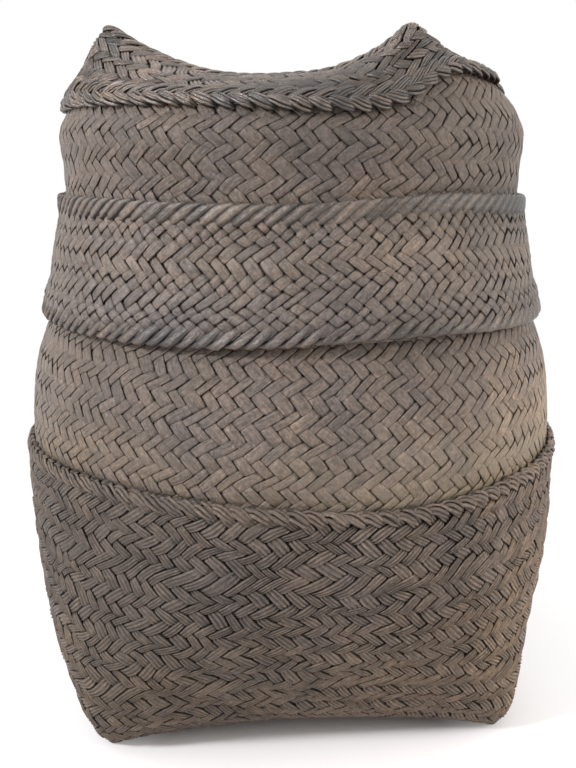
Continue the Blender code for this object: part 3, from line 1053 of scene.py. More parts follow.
class Nodes:
    """Wires shader nodes together without naming every link by hand."""

    def __init__(self, tree):
        self.tree = tree

    def give(self, socket, value):
        """Links a socket to an output, or sets it to a plain value."""
        if isinstance(value, bpy.types.NodeSocket):
            self.tree.links.new(value, socket)
        elif value is not None:
            socket.default_value = value

    def add(self, kind, inputs=(), **settings):
        """A node with its settings, and its inputs linked or set."""
        node = self.tree.nodes.new(kind)
        for name, value in settings.items():
            setattr(node, name, value)
        for socket, value in dict(inputs).items():
            self.give(node.inputs[socket], value)
        return node

    def math(self, operation, first, second=None, clamp=False):
        """One sum on one or two values."""
        made = self.add("ShaderNodeMath", {0: first, 1: second}, operation=operation)
        made.use_clamp = clamp
        return made.outputs[0]

    def product(self, *values):
        """All the values multiplied together."""
        total = values[0]
        for value in values[1:]:
            total = self.math("MULTIPLY", total, value)
        return total

    def spread(self, value, low, high, to_low=0.0, to_high=1.0):
        """Maps low..high onto to_low..to_high, held at both ends."""
        made = self.add("ShaderNodeMapRange", {
            "Value": value, "From Min": low, "From Max": high, "To Min": to_low,
            "To Max": to_high,
        })
        return made.outputs["Result"]

    def noise(self, vector, scale, detail=2.0, roughness=0.5):
        """Soft noise, mostly between 0.3 and 0.7."""
        made = self.add(
            "ShaderNodeTexNoise",
            {"Vector": vector, "Scale": scale, "Detail": detail, "Roughness": roughness},
        )
        return made.outputs["Fac"]

    def blend(self, share, first, second, kind="MIX"):
        """Mixes two colours."""
        made = self.add(
            "ShaderNodeMix", {0: share, 6: first, 7: second}, data_type="RGBA", blend_type=kind
        )
        return made.outputs[2]

    def attribute(self, name):
        """A value that the mesh holds at each point."""
        return self.add("ShaderNodeAttribute", attribute_name=name).outputs["Fac"]

    def group(self, tree, inputs):
        """A shared node group with this material's own values."""
        return self.add("ShaderNodeGroup", inputs, node_tree=tree).outputs

    def seen_directly(self):
        """One for rays from the camera, glossy ones and those through glass, or else nought."""
        path = self.add("ShaderNodeLightPath").outputs
        seen = self.math("MAXIMUM", path["Is Camera Ray"], path["Is Glossy Ray"])
        return self.math("MAXIMUM", seen, path["Is Transmission Ray"])


def new_group(name, inputs, outputs):
    """A node group with named inputs and outputs: returns its tree, wiring and both ends."""
    tree = bpy.data.node_groups.new(name, "ShaderNodeTree")
    for label, kind, value in inputs:
        socket = tree.interface.new_socket(label, in_out="INPUT", socket_type=kind)
        if value is not None:
            socket.default_value = value
    for label, kind in outputs:
        tree.interface.new_socket(label, in_out="OUTPUT", socket_type=kind)
    wiring = Nodes(tree)
    start = wiring.add("NodeGroupInput").outputs
    end = wiring.add("NodeGroupOutput").inputs
    return tree, wiring, start, end


def strip_tone_group():
    """Which strip and tile a point is on, as two random tones, and how far across it lies."""
    tree, w, start, end = new_group(
        "strip_tones", [("Strips", "NodeSocketVector", None)],
        [("Strip Tone", "NodeSocketFloat"), ("Tile Tone", "NodeSocketFloat"),
         ("Edge", "NodeSocketFloat"), ("Worn Edge", "NodeSocketFloat")],
    )
    parts = w.add("ShaderNodeSeparateXYZ", {0: start["Strips"]}).outputs
    strip = w.math("FLOOR", parts["X"])
    tile = w.math("FLOOR", parts["Y"])
    strip_only = w.add("ShaderNodeCombineXYZ", {"X": strip}).outputs[0]
    both = w.add("ShaderNodeCombineXYZ", {"X": strip, "Y": tile}).outputs[0]
    for label, vector in (("Strip Tone", strip_only), ("Tile Tone", both)):
        tone = w.add("ShaderNodeTexWhiteNoise", {"Vector": vector}).outputs["Value"]
        w.give(end[label], tone)
    across, along = (
        w.math("ABSOLUTE", w.math("SUBTRACT", w.math("FRACT", parts[way]), 0.5)) for way in "XY"
    )
    w.give(end["Edge"], w.spread(across, 0.43, 0.475))
    rim = w.math("MAXIMUM", w.spread(across, 0.30, 0.40), w.spread(along, 0.30, 0.42))
    w.give(end["Worn Edge"], rim)
    return tree


def grain_group():
    """Fibres running along each strip: their streaks, and how high they stand."""
    tree, w, start, end = new_group(
        "strip_grain",
        [("Strips", "NodeSocketVector", None), ("Position", "NodeSocketVector", None),
         ("Fineness", "NodeSocketFloat", 16.0), ("Length", "NodeSocketFloat", 1.2)],
        [("Streaks", "NodeSocketFloat"), ("Height", "NodeSocketFloat")],
    )
    parts = w.add("ShaderNodeSeparateXYZ", {0: start["Strips"]}).outputs
    along = w.math("MULTIPLY", parts["Y"], start["Length"])
    fibres = []
    for share in (1.0, 0.36):
        across = w.math("MULTIPLY", parts["X"], w.math("MULTIPLY", start["Fineness"], share))
        place = w.add("ShaderNodeCombineXYZ", {"X": across, "Y": along, "Z": parts["X"]})
        fibres.append(w.noise(place.outputs[0], 1.0, 3.0, 0.62))
    streaks, ribs = fibres
    w.give(end["Streaks"], streaks)
    height = w.math("ADD", streaks, w.math("MULTIPLY", ribs, 0.8))
    pitted = w.math("MULTIPLY", w.noise(start["Position"], 380.0, 4.0, 0.75), 2.2)
    w.give(end["Height"], w.math("ADD", height, pitted))
    return tree


def weather_and_shade_group():
    """Weathering over the years: mottled, stained and scuffed lighter or darker, warmer or
    cooler, with each point's painted shade and light multiplied in.
    """
    tree, w, start, end = new_group(
        "weathering_and_shade",
        [("Position", "NodeSocketVector", None), ("Worn Edge", "NodeSocketFloat", 0.0),
         ("Age", "NodeSocketFloat", 1.0), ("Warmth", "NodeSocketFloat", 0.0)],
        [("Tint", "NodeSocketColor"), ("Wear And Shade", "NodeSocketColor")],
    )
    place = start["Position"]
    patchy = w.spread(w.noise(place, 38.0, 4.0, 0.65), 0.34, 0.66, -0.45, 0.45)
    warmth = w.math("ADD", w.math("MULTIPLY", start["Warmth"], 0.8), patchy)
    tint = w.blend(w.spread(warmth, -1.0, 1.0), COOL_TINT, WARM_TINT)
    w.give(end["Tint"], tint)
    mottle = w.spread(w.noise(place, 440.0, 4.0, 0.75), 0.30, 0.70, 0.42, 1.52)
    stain = w.spread(w.noise(place, 19.0, 3.0, 0.55), 0.36, 0.64, 0.82, 1.14)
    scuffed = w.spread(w.noise(place, 210.0, 3.0, 0.6), 0.46, 0.62, 0.0, 0.42)
    scuffed = w.math("ADD", 1.0, w.math("MULTIPLY", start["Worn Edge"], scuffed))
    # The wear colour also carries each point's painted shade and light
    worn_and_shaded = w.product(mottle, stain, start["Age"], scuffed)
    worn_and_shaded = w.add("ShaderNodeCombineXYZ", {0: worn_and_shaded, 1: worn_and_shaded, 2: worn_and_shaded}).outputs[0]
    w.give(end["Wear And Shade"], worn_and_shaded)
    return tree


def crevice_shade_group():
    """How open the plait lies: nought in its gaps and along strip edges, which are painted as
    shade, and here and there filled up with dust.
    """
    tree, w, start, end = new_group(
        "crevices",
        [("Position", "NodeSocketVector", None), ("Relief", "NodeSocketFloat", 1.0),
         ("Edge", "NodeSocketFloat", 0.0), ("Open From", "NodeSocketFloat", 0.3),
         ("Open To", "NodeSocketFloat", 0.8)],
        [("Openness", "NodeSocketFloat")],
    )
    depth = w.spread(start["Relief"], start["Open From"], start["Open To"])
    clogged = w.spread(w.noise(start["Position"], 60.0, 3.0, 0.6), 0.44, 0.62, 0.0, 0.6)
    broken = w.spread(w.noise(start["Position"], 130.0, 2.0, 0.5), 0.38, 0.62, 0.25, 0.9)
    edges = w.math("SUBTRACT", 1.0, w.math("MULTIPLY", start["Edge"], broken))
    hollow = w.math("SUBTRACT", 1.0, w.math("MULTIPLY", depth, edges))
    hollow = w.math("MULTIPLY", hollow, w.math("SUBTRACT", 1.0, clogged))
    w.give(end["Openness"], w.math("SUBTRACT", 1.0, hollow))
    return tree


def dust_and_glint_group():
    """Old dust in broad patches, thicker in some places and caught on edges, with light specks
    painted as both dust and glints.
    """
    tree, w, start, end = new_group(
        "dust_and_glint_film",
        [("Position", "NodeSocketVector", None), ("Relief", "NodeSocketFloat", 1.0),
         ("Amount", "NodeSocketFloat", 0.4), ("Ledge", "NodeSocketFloat", 0.0)],
        [("Dust", "NodeSocketFloat"), ("Ledge", "NodeSocketFloat"),
         ("Specks And Glints", "NodeSocketFloat")],
    )
    place = w.add("ShaderNodeSeparateXYZ", {0: start["Position"]}).outputs
    near = w.spread(place["Z"], COVER_TOP + LEDGE_REACH, COVER_TOP + 0.2 * LEDGE_REACH)
    side = w.spread(place["X"], *LEDGE_SIDE, 0.12, 1.0)
    rough = w.spread(w.noise(start["Position"], 90.0, 3.0, 0.6), 0.36, 0.60, 0.45, 1.0)
    w.give(end["Ledge"], w.product(near, side, start["Ledge"], rough))
    patches = w.spread(w.noise(start["Position"], 11.0, 4.0, 0.6), 0.38, 0.66)
    fine = w.spread(w.noise(start["Position"], 420.0, 3.0, 0.7), 0.40, 0.68, 0.35, 1.0)
    settled = w.spread(start["Relief"], 0.45, 0.85, 0.55, 1.0)
    w.give(end["Dust"], w.product(patches, fine, settled, start["Amount"]))
    # Light specks: dust, and painted glints
    specks_and_glints = w.spread(w.noise(start["Position"], 900.0, 1.0, 0.5), 0.735, 0.76)
    w.give(end["Specks And Glints"], specks_and_glints)
    return tree


def sheen_group():
    """Places polished by handling: where the surface is smoother and catches the light."""
    tree, w, start, end = new_group(
        "handled_sheen",
        [("Position", "NodeSocketVector", None), ("Relief", "NodeSocketFloat", 1.0),
         ("Tile Tone", "NodeSocketFloat", 0.5)],
        [("Sheen", "NodeSocketFloat")],
    )
    broad = w.spread(w.noise(start["Position"], 14.0, 2.0, 0.5), 0.46, 0.66)
    close = w.spread(w.noise(start["Position"], 240.0, 2.0, 0.6), 0.42, 0.62)
    high = w.spread(start["Relief"], 0.80, 0.98)
    chosen = w.spread(start["Tile Tone"], 0.35, 0.9, 0.25, 1.0)
    w.give(end["Sheen"], w.product(broad, close, high, chosen))
    return tree


# The ochre dust that lies just above the cover: how far up it reaches, and the two places along X
# between which it thickens
LEDGE_REACH = 0.045
LEDGE_SIDE = (-0.05, 0.11)
LEDGE_COLOUR = (0.235, 0.185, 0.110, 1)
# Light specks, painted as both dust and glints, and how strongly they show
SPECK_AND_GLINT_COLOUR = (0.45, 0.42, 0.38, 1)
SPECK_AND_GLINT_SHARE = 0.3
COOL_TINT = (0.95, 0.985, 1.10, 1)
WARM_TINT = (1.13, 1.0, 0.76, 1)
GRAIN_LENGTH = 1.2
TILE_SHARE = 0.20

STRIP_TONES = strip_tone_group()
STRIP_GRAIN = grain_group()
WEATHERING_AND_SHADE = weather_and_shade_group()
CREVICE_SHADE = crevice_shade_group()
DUST_AND_GLINT_FILM = dust_and_glint_group()
HANDLED_SHEEN = sheen_group()


def new_finish(name, slot):
    """A new material of one slot: returns it, its wiring and its shader."""
    made = bpy.data.materials.new(name)
    made["slot"] = slot
    made.use_nodes = True
    return made, Nodes(made.node_tree), made.node_tree.nodes["Principled BSDF"]


def plait_finish(
    name, slot, light, dark, crevice_shade, dust_colour, dust, fineness, roughness, sheen, specular,
    open_from, open_to, grain_height, ledge=0.0, strip_share=0.20,
):
    """Weathered split bamboo: toned by strip and tile, painted with shade in the crevices and
    along strip edges, dusty, with wear and painted shade and light by place.

    open_from and open_to are the relief where the painted shade of the crevices ends and where
    the plait lies open, and strip_share is how much of the tone goes by the strip.
    """
    made, w, shader = new_finish(name, slot)
    strips = w.add("ShaderNodeUVMap", uv_map="strips").outputs["UV"]
    relief = w.attribute("relief")
    position = w.add("ShaderNodeTexCoord").outputs["Object"]
    tones = w.group(STRIP_TONES, {"Strips": strips})
    grain = w.group(STRIP_GRAIN, {
        "Strips": strips, "Position": position, "Fineness": fineness, "Length": GRAIN_LENGTH,
    })
    weather_and_shade = w.group(WEATHERING_AND_SHADE, {
        "Position": position, "Worn Edge": tones["Worn Edge"], "Age": w.attribute("shade_and_age"),
        "Warmth": w.attribute("warmth"),
    })
    openness = w.group(CREVICE_SHADE, {
        "Position": position, "Relief": relief, "Edge": tones["Edge"], "Open From": open_from,
        "Open To": open_to,
    })["Openness"]
    dust_and_glints = w.group(
        DUST_AND_GLINT_FILM, {"Position": position, "Relief": relief, "Amount": dust, "Ledge": ledge}
    )
    handled = w.group(
        HANDLED_SHEEN,
        {"Position": position, "Relief": relief, "Tile Tone": tones["Tile Tone"]},
    )

    streaks = w.spread(grain["Streaks"], 0.36, 0.64)
    tone = w.math("MULTIPLY", tones["Strip Tone"], strip_share)
    tone = w.math("ADD", tone, w.math("MULTIPLY", tones["Tile Tone"], TILE_SHARE))
    streaks = w.math("MULTIPLY", streaks, 1 - TILE_SHARE - strip_share)
    colour = w.blend(w.math("ADD", tone, streaks), dark, light)
    colour = w.blend(1.0, colour, weather_and_shade["Tint"], "MULTIPLY")
    # Wear, with the painted shade and light of each point
    colour = w.blend(1.0, colour, weather_and_shade["Wear And Shade"], "MULTIPLY")
    # Painted shade: gaps and strip edges are darkened towards a near-black colour
    colour = w.blend(openness, crevice_shade, colour)
    colour = w.blend(dust_and_glints["Dust"], colour, dust_colour)
    colour = w.blend(dust_and_glints["Ledge"], colour, LEDGE_COLOUR)
    # Light specks: dust, and painted glints
    colour = w.blend(w.math("MULTIPLY", dust_and_glints["Specks And Glints"], SPECK_AND_GLINT_SHARE), colour, SPECK_AND_GLINT_COLOUR)
    w.give(shader.inputs["Base Color"], colour)

    dull = w.math("ADD", roughness, w.math("MULTIPLY", dust_and_glints["Dust"], 0.25))
    dull = w.math("SUBTRACT", dull, w.math("MULTIPLY", handled["Sheen"], sheen))
    dull = w.math("ADD", dull, w.spread(openness, 0.0, 1.0, 0.45, 0.0), clamp=True)
    w.give(shader.inputs["Roughness"], dull)
    w.give(shader.inputs["Specular IOR Level"], specular)
    bump = w.add(
        "ShaderNodeBump", {"Strength": 1.0, "Distance": grain_height, "Height": grain["Height"]}
    )
    w.give(shader.inputs["Normal"], bump.outputs["Normal"])
    return made


def cane_finish():
    """Plain round cane, streaked along its length."""
    made, w, shader = new_finish("cane_look", "cane")
    position = w.add("ShaderNodeTexCoord").outputs["Object"]
    stretched = w.add("ShaderNodeMapping", {"Vector": position, "Scale": (60, 60, 900)})
    streaks = w.spread(w.noise(stretched.outputs[0], 1.0, 3.0, 0.6), 0.3, 0.7)
    colour = w.blend(streaks, (0.16, 0.115, 0.07, 1), (0.32, 0.25, 0.17, 1))
    w.give(shader.inputs["Base Color"], colour)
    w.give(shader.inputs["Roughness"], 0.5)
    return made


FINE = plait_finish(
    "fine_plait_look", "fine_plait",
    light=(0.161, 0.123, 0.103, 1), dark=(0.055, 0.042, 0.035, 1),
    crevice_shade=(0.007, 0.005, 0.004, 1), dust_colour=(0.185, 0.143, 0.108, 1), dust=0.42,
    fineness=7.0, roughness=0.42, sheen=0.28, specular=0.52, open_from=0.29, open_to=0.80,
    ledge=0.60, grain_height=0.0005,
)
BAND = plait_finish(
    "band_plait_look", "fine_plait",
    light=(0.154, 0.118, 0.099, 1), dark=(0.046, 0.035, 0.030, 1),
    crevice_shade=(0.007, 0.005, 0.004, 1), dust_colour=(0.185, 0.143, 0.108, 1), dust=0.38,
    fineness=7.0, roughness=0.36, sheen=0.28, specular=0.60, open_from=0.29, open_to=0.80,
    strip_share=0.26, grain_height=0.0004,
)
COARSE = plait_finish(
    "coarse_plait_look", "coarse_plait",
    light=(0.164, 0.123, 0.099, 1), dark=(0.046, 0.034, 0.027, 1),
    crevice_shade=(0.006, 0.004, 0.003, 1), dust_colour=(0.155, 0.115, 0.082, 1), dust=0.34,
    fineness=6.0, roughness=0.38, sheen=0.24, specular=0.55, open_from=0.46, open_to=0.92,
    grain_height=0.0005,
)
GLOSSY = plait_finish(
    "glossy_strands_look", "coarse_plait",
    light=(0.212, 0.155, 0.124, 1), dark=(0.003, 0.002, 0.0015, 1),
    crevice_shade=(0.003, 0.002, 0.0015, 1), dust_colour=(0.150, 0.115, 0.088, 1), dust=0.10,
    fineness=4.0, roughness=0.22, sheen=0.06, specular=0.80, open_from=0.52, open_to=0.98,
    strip_share=0.48, grain_height=0.0003,
)
FOLDED = plait_finish(
    "folded_edge_look", "folded_edge",
    light=(0.160, 0.125, 0.106, 1), dark=(0.026, 0.020, 0.017, 1),
    crevice_shade=(0.005, 0.004, 0.004, 1), dust_colour=(0.150, 0.118, 0.092, 1), dust=0.26,
    fineness=7.0, roughness=0.27, sheen=0.14, specular=0.70, open_from=0.38, open_to=0.92,
    strip_share=0.34, grain_height=0.0003,
)
CANE = cane_finish()

FAMILIES = (("rising", 1), ("falling", -1))
FINE_LIFT = 0.00055
BAND_LIFT = 0.00078
COARSE_LIFT = 0.00095
CAP_LIFT = 0.00105
CAP_ROOM = 0.0034
BASKET_ROOM = 0.0038
EDGE_LEAN = 0.0021
FINE_SECTION = flat_section(0.95, 0.00030, 0.00042)
BAND_SECTION = flat_section(0.95, 0.00052, 0.00042)
LINING_SECTION = plain_section(0.95, 0.00022, 0.00042)
BASE_SECTION = plain_section(0.93, 0.0005, 0.0006)
COARSE_SECTION = stranded_section(0.95, 0.00090, 0.00060, 0.00080)
CAP_SECTION = stranded_section(0.94, 0.00110, 0.00060, 0.00085)

# Places painted lighter and darker: painted shade towards the front middle, other painted shade
# and light, and old stains, bleaching and ochre dust.
# Azimuth and width in degrees, height and spread, the share by which the colour is lighter there,
# and how much warmer it is, from -1 to 1
SHADE_AND_STAINS = (
    (-88, 34, 0.350, 0.026, -0.28, -0.2),
    (-24, 40, 0.330, 0.050, -0.30, 1.0),
    (-85, 40, 0.258, 0.012, -0.16, -0.5),
    (-124, 24, 0.262, 0.014, 0.04, -0.6),
    (-26, 34, 0.195, 0.034, 1.00, 1.0),
    (-88, 36, 0.195, 0.030, 0.06, -0.2),
    (-142, 30, 0.182, 0.014, 0.05, 0.8),
    (-128, 26, 0.382, 0.020, 0.26, -0.3),
    (-20, 26, 0.390, 0.016, 0.95, 0.6),
    (-88, 44, 0.125, 0.036, -0.04, -0.7),
    (-118, 60, 0.030, 0.050, 0.04, 1.2),
    (-34, 40, 0.075, 0.070, 0.92, 1.4),
    (-30, 32, 0.315, 0.008, -0.64, 1.0),
    (-88, 36, 0.384, 0.030, -0.22, 0.2),
    (-30, 26, 0.253, 0.009, -0.30, 0.6),
    (-130, 40, 0.315, 0.008, 0.60, 0.1),
    (-66, 60, 0.288, 0.014, 0.22, 0.2),
    (-88, 36, 0.375, 0.004, -0.30, 0.0),
    (100, 60, 0.080, 0.060, 0.0, 0.8),
    (70, 50, 0.290, 0.050, -0.10, 0.5),
    (150, 40, 0.340, 0.030, -0.12, -0.4),
)

BODY_STRIPS = 112
LID_STRIPS = 96
CAP_STRIPS = 88
BAND_STRIPS = 108

# Widths of the rising and the falling strips of each layer
COVER_WIDTHS = (0.0055, 0.0063)
BODY_WIDTHS = (0.0053, 0.0071)
LID_WIDTHS = (0.0054, 0.0068)
CAP_WIDTHS = (0.0056, 0.0062)
BAND_WIDTHS = (0.0058, 0.0060)

# How far up the basket's wall and the lid's wall the plait goes out of sight or comes into it
SHOULDER_SEAM = 0.1548
LID_SEAM = 0.165

# Waves of the hand-made edges: azimuth and width in degrees, height in metres
COVER_EDGE_WAVE = ((-129, 32, 0.0034), (-73, 17, -0.0032), (40, 50, 0.0015), (150, 30, -0.002))
CAP_EDGE_TRIM = (
    (0, 32, 0.0255), (-36, 15, 0.0160), (-100, 30, 0.0055), (-150, 40, 0.0065),
    (138.5, 40, 0.0040),
)
RIDGE_WAVE = ((-119.5, 36, 0.0022), (-41.5, 26, 0.0055))
RIM_WAVE = ((-53.5, 30, 0.0055),)

# Paths of braided cords: forward, up and out from a bundle's place, in metres
COVER_HOOK = (
    (-0.0044, -0.0036, -0.0030), (-0.0030, -0.0014, -0.0004), (0.0002, -0.0006, 0.0008),
    (0.0036, -0.0018, 0.0012), (0.0068, -0.0038, 0.0010), (0.0094, -0.0056, -0.0002),
    (0.0112, -0.0068, -0.0026),
)
CAP_UPPER_HOOK = (
    (-0.0052, -0.0016, -0.0022), (-0.0026, -0.0006, 0.0001), (0.0016, 0.0022, 0.0011),
    (0.0062, 0.0060, 0.0013), (0.0104, 0.0082, 0.0004), (0.0136, 0.0092, -0.0028),
)
CAP_LOWER_HOOK = (
    (-0.0048, 0.0016, -0.0020), (-0.0024, 0.0004, 0.0006), (0.0012, -0.0020, 0.0016),
    (0.0050, -0.0040, 0.0014), (0.0088, -0.0050, 0.0004), (0.0116, -0.0050, -0.0030),
)
CAP_BROW = (
    (-0.0064, -0.0058, -0.0016), (-0.0042, -0.0038, 0.0002), (0.0000, 0.0000, 0.0008),
    (0.0042, 0.0038, 0.0002), (0.0064, 0.0058, -0.0016),
)

# Cords of each bundle, sideways and out from its middle, and a cord's width and thickness
COVER_CORDS = ((-0.0022, 0.0), (0.0, 0.0002), (0.0022, 0.0))
COVER_CORD_SIZE = (0.0021, 0.0014)
BROW_CORDS = ((-0.0018, 0.0), (0.0, 0.0002), (0.0018, 0.0))
BROW_CORD_SIZE = (0.0021, 0.0015)
CAP_CORDS = ((-0.0027, -0.0004), (-0.0009, 0.0002), (0.0009, 0.0001), (0.0027, -0.0003))
CAP_CORD_SIZE = (0.0020, 0.0015)
COVER_HOOK_DROP = 0.0010
CAP_HOOK_RISE = 0.0045
BROW_SHARES = (0.93, 0.85)

# Lines of the folds, as offsets out and up: the mouth's from the neck and its top, from outside
# over it; the ridge's outer part from the band's face and the ridge's top, then its inner part
# from beside the wall; the rim's inner part and then its outer part, from its foot
MOUTH_FOLD_LINE = (
    (0.0006, -0.0095), (0.0007, -0.0030), (0.0006, 0.0), (-0.0004, 0.0014), (-0.0014, 0.0),
    (-0.0016, -0.0030), (-0.0016, -0.0085),
)
RIDGE_OUTER_LINE = (
    (0.0012, -0.0115), (0.0011, -0.0050), (0.0008, -0.0018), (-0.0006, -0.0002),
)
RIDGE_INNER_LINE = ((0.0008, -0.0004), (0.0, -0.0022), (0.0, -0.0060))
RIM_INNER_LINE = ((-0.0010, 0.0080), (0.0, 0.0024), (0.0007, 0.0006))
RIM_OUTER_LINE = ((-0.0004, 0.0), (0.0010, 0.0016), (0.0006, 0.0060), (-0.0019, 0.0135))

# The wall just under the cap's edge, from the lid's wall and the edge
UNDER_CAP_LINE = ((0.0006, -0.014), (0.0004, -0.006))

BAND_STANDS_FOR = ("lid_band", "band_ridge_fold", "lid_rim_fold")

# The lid's folded edges: how far the band's face lies inside the ridge, the gap from the lid's
# wall to the ridge, how far the ridge stands up, the rim's depth, and the canes
RIDGE_WALL = 0.0011
RIDGE_GAP = 0.0018
RIDGE_STAND = 0.0006
RIM_DEPTH = 0.0040
HOOP_RADIUS = 0.0008
RIDGE_HOOP_DEPTH = 0.0026
RIM_HOOP_DEPTH = 0.0027


def build_cover():
    """The outer basket: its wall, its base and the strands turned over along its top."""
    skin = Skin(cover_rows(lean=EDGE_LEAN), high_wave=COVER_EDGE_WAVE, shape=DRAWN_IN)
    style = Style(
        COARSE_SECTION, (2, 2, 2, 2, 2, 2, 3, 2, 2, 2), COARSE_LIFT, inset=0.0009, bulge=0.0009,
        narrow=0.80, wander=0.0016, course=COURSE_RELIEF, shoulder=0.76, rough=1.25,
    )
    stands_for = ("outer_cover", "cover_edge_braid")
    plait = Plait(skin, BODY_STRIPS, *COVER_WIDTHS)
    lay_plait("cover_wall", plait, style, COARSE, "basket", stands_for, seed=11, parts=2)
    panel = Panel(
        BELLY * BASE_SHARE, BASE_ROUNDNESS, BASE_RISE, BASE_ARCH, 0.0, outward=-1,
        shape=DRAWN_IN,
    )
    style = style.with_section(BASE_SECTION)
    lay_panel("base", panel, BODY_STRIPS, style, COARSE, "basket", seed=21)
    piece = lay_cords(
        "cover_edge_hooks", skin, skin.length - COVER_HOOK_DROP, BODY_STRIPS, COVER_HOOK,
        COVER_CORDS, COVER_CORD_SIZE, seed=25,
    )
    finish_piece(piece, COARSE, "basket", stands_for)


def build_basket():
    """The inner basket: its wall and shoulder, its floor and the fold at its mouth."""
    skin = Skin(basket_rows(BASKET_ROOM), shape=DRAWN_IN)
    style = Style(
        FINE_SECTION, (2, 2), FINE_LIFT, inset=0.0005, bulge=0.0006, narrow=0.90, wander=0.0009,
        rough=1.4,
    )
    stands_for = ("inner_basket", "mouth_fold")
    plait = Plait(skin, BODY_STRIPS, *BODY_WIDTHS)
    seam = int(plait.row_at(SHOULDER_SEAM))
    lining = style.with_section(LINING_SECTION)
    hidden, shown = (0, seam), (seam, plait.rows)
    lay_plait("basket_wall", plait, lining, FINE, "basket", stands_for, seed=31, rows=hidden)
    lay_plait("shoulder", plait, style, FINE, "basket", stands_for, seed=31, rows=shown)
    panel = Panel(
        BELLY * BASE_SHARE - BASKET_ROOM, BASE_ROUNDNESS, BASE_RISE + BASKET_ROOM,
        BASE_ARCH + BASKET_ROOM, BASKET_ROOM, outward=-1, shape=DRAWN_IN,
    )
    lay_panel("floor_inside", panel, BODY_STRIPS, lining, FINE, "basket", seed=41)
    line = line_from(MOUTH_FOLD_LINE, NECK, MOUTH_TOP)
    piece = lay_fold(
        "mouth_turned_strips", line, (), BODY_STRIPS, turns=2.8, width=1.15, seed=45, shown_end=0
    )
    finish_piece(piece, FOLDED, "basket", stands_for)


def build_lid_shell(half, heights):
    """The lid's own plait: its wall, its lining under the cap, and its top inside."""
    stands_for = ("lid_shell",)
    skin = Skin(shell_rows(), shape=FILLED_OUT, corners=LID_CORNER_SHARES)
    plait = Plait(skin, LID_STRIPS, *LID_WIDTHS)
    style = Style(
        FINE_SECTION, (2, 2), FINE_LIFT, inset=0.0005, bulge=0.0006, narrow=0.90, wander=0.0010,
        rough=1.5,
    )
    lining = style.with_section(LINING_SECTION)
    seam = int(plait.row_at(LID_SEAM))
    shown, hidden = (0, seam), (seam, plait.rows)
    lay_plait("lid_wall", plait, style, FINE, "lid", stands_for, seed=51, rows=shown)
    lay_plait("lid_lining", plait, lining, FINE, "lid", stands_for, seed=51, rows=hidden)
    lowered = [height - CAP_ROOM for height in heights]
    panel = Panel(
        half - CAP_ROOM, LID_TOP_ROUNDNESS, *lowered, outward=1, shape=FILLED_OUT,
        corners=LID_CORNER_SHARES,
    )
    lay_panel("lid_top_inside", panel, LID_STRIPS, lining, FINE, "lid", seed=61)


def build_cap(half, heights):
    """The cap: its shoulder and top, and the strands along its brow and its lower edge."""
    stands_for = ("lid_cap", "cap_edge_braid")
    skin = Skin(cap_rows(0.0), shape=FILLED_OUT, corners=LID_CORNER_SHARES, trim=CAP_EDGE_TRIM)
    plait = Plait(skin, CAP_STRIPS, *CAP_WIDTHS)
    style = Style(
        CAP_SECTION, (2, 2), CAP_LIFT, inset=0.0002, bulge=0.0009, narrow=0.78, wander=0.0014,
        shoulder=0.80, rough=1.5,
    )
    lay_plait("cap", plait, style, GLOSSY, "lid", stands_for, seed=71)
    panel = Panel(
        half, LID_TOP_ROUNDNESS, *heights, outward=1, shape=FILLED_OUT,
        corners=LID_CORNER_SHARES,
    )
    lay_panel("cap_top", panel, CAP_STRIPS, style, GLOSSY, "lid", seed=81)

    centre, edge, corner = heights
    brow_rows = cap_rows(0.0)[-2:]
    for share in BROW_SHARES:
        lift = share**PANEL_POWER
        side_height = centre + (edge - centre) * lift
        corner_height = centre + (corner - centre) * lift
        brow_rows.append((half * share, side_height, LID_TOP_ROUNDNESS, corner_height))
    skin = Skin(brow_rows, shape=FILLED_OUT, corners=LID_CORNER_SHARES)
    piece = lay_cords(
        "cap_brow_strands", skin, skin.knots[1], CAP_STRIPS, CAP_BROW, BROW_CORDS,
        BROW_CORD_SIZE, seed=97,
    )
    finish_piece(piece, GLOSSY, "lid", stands_for)

    below = line_from(UNDER_CAP_LINE, LID_WALL, CAP_EDGE)
    skin = Skin(
        ring_rows(below) + cap_rows(0.0), shape=FILLED_OUT, corners=LID_CORNER_SHARES,
        trim=CAP_EDGE_TRIM, edge=len(below),
    )
    level = skin.knots[len(below)] + CAP_HOOK_RISE
    for word, path, seed in (("upper", CAP_UPPER_HOOK, 91), ("lower", CAP_LOWER_HOOK, 93)):
        piece = lay_cords(
            f"cap_edge_{word}_hooks", skin, level, CAP_STRIPS, path, CAP_CORDS, CAP_CORD_SIZE,
            seed,
        )
        finish_piece(piece, GLOSSY, "lid", stands_for)


def build_lid():
    """The lid's shell and the cap over it, which share the heights of the top."""
    half = LID_WALL * LID_HALF_SHARE
    edge = CAP_EDGE + LID_EDGE_RISE
    heights = (edge - LID_DISH, edge, edge + PEAK_RISE)
    build_lid_shell(half, heights)
    build_cap(half, heights)


def build_fold(word, line, wave, hoop_depth, **fold):
    """One of the lid's folded edges with the cane inside it."""
    piece = lay_fold(f"{word}_turned_strips", line, wave, BAND_STRIPS, **fold)
    finish_piece(piece, FOLDED, "lid", BAND_STANDS_FOR)
    skin = Skin(ring_rows(line), wave, wave)
    piece = lay_hoop(f"{word}_cane", skin, skin.knots[3], -hoop_depth, HOOP_RADIUS)
    finish_piece(piece, CANE, "lid", (f"{word}_hoop",))


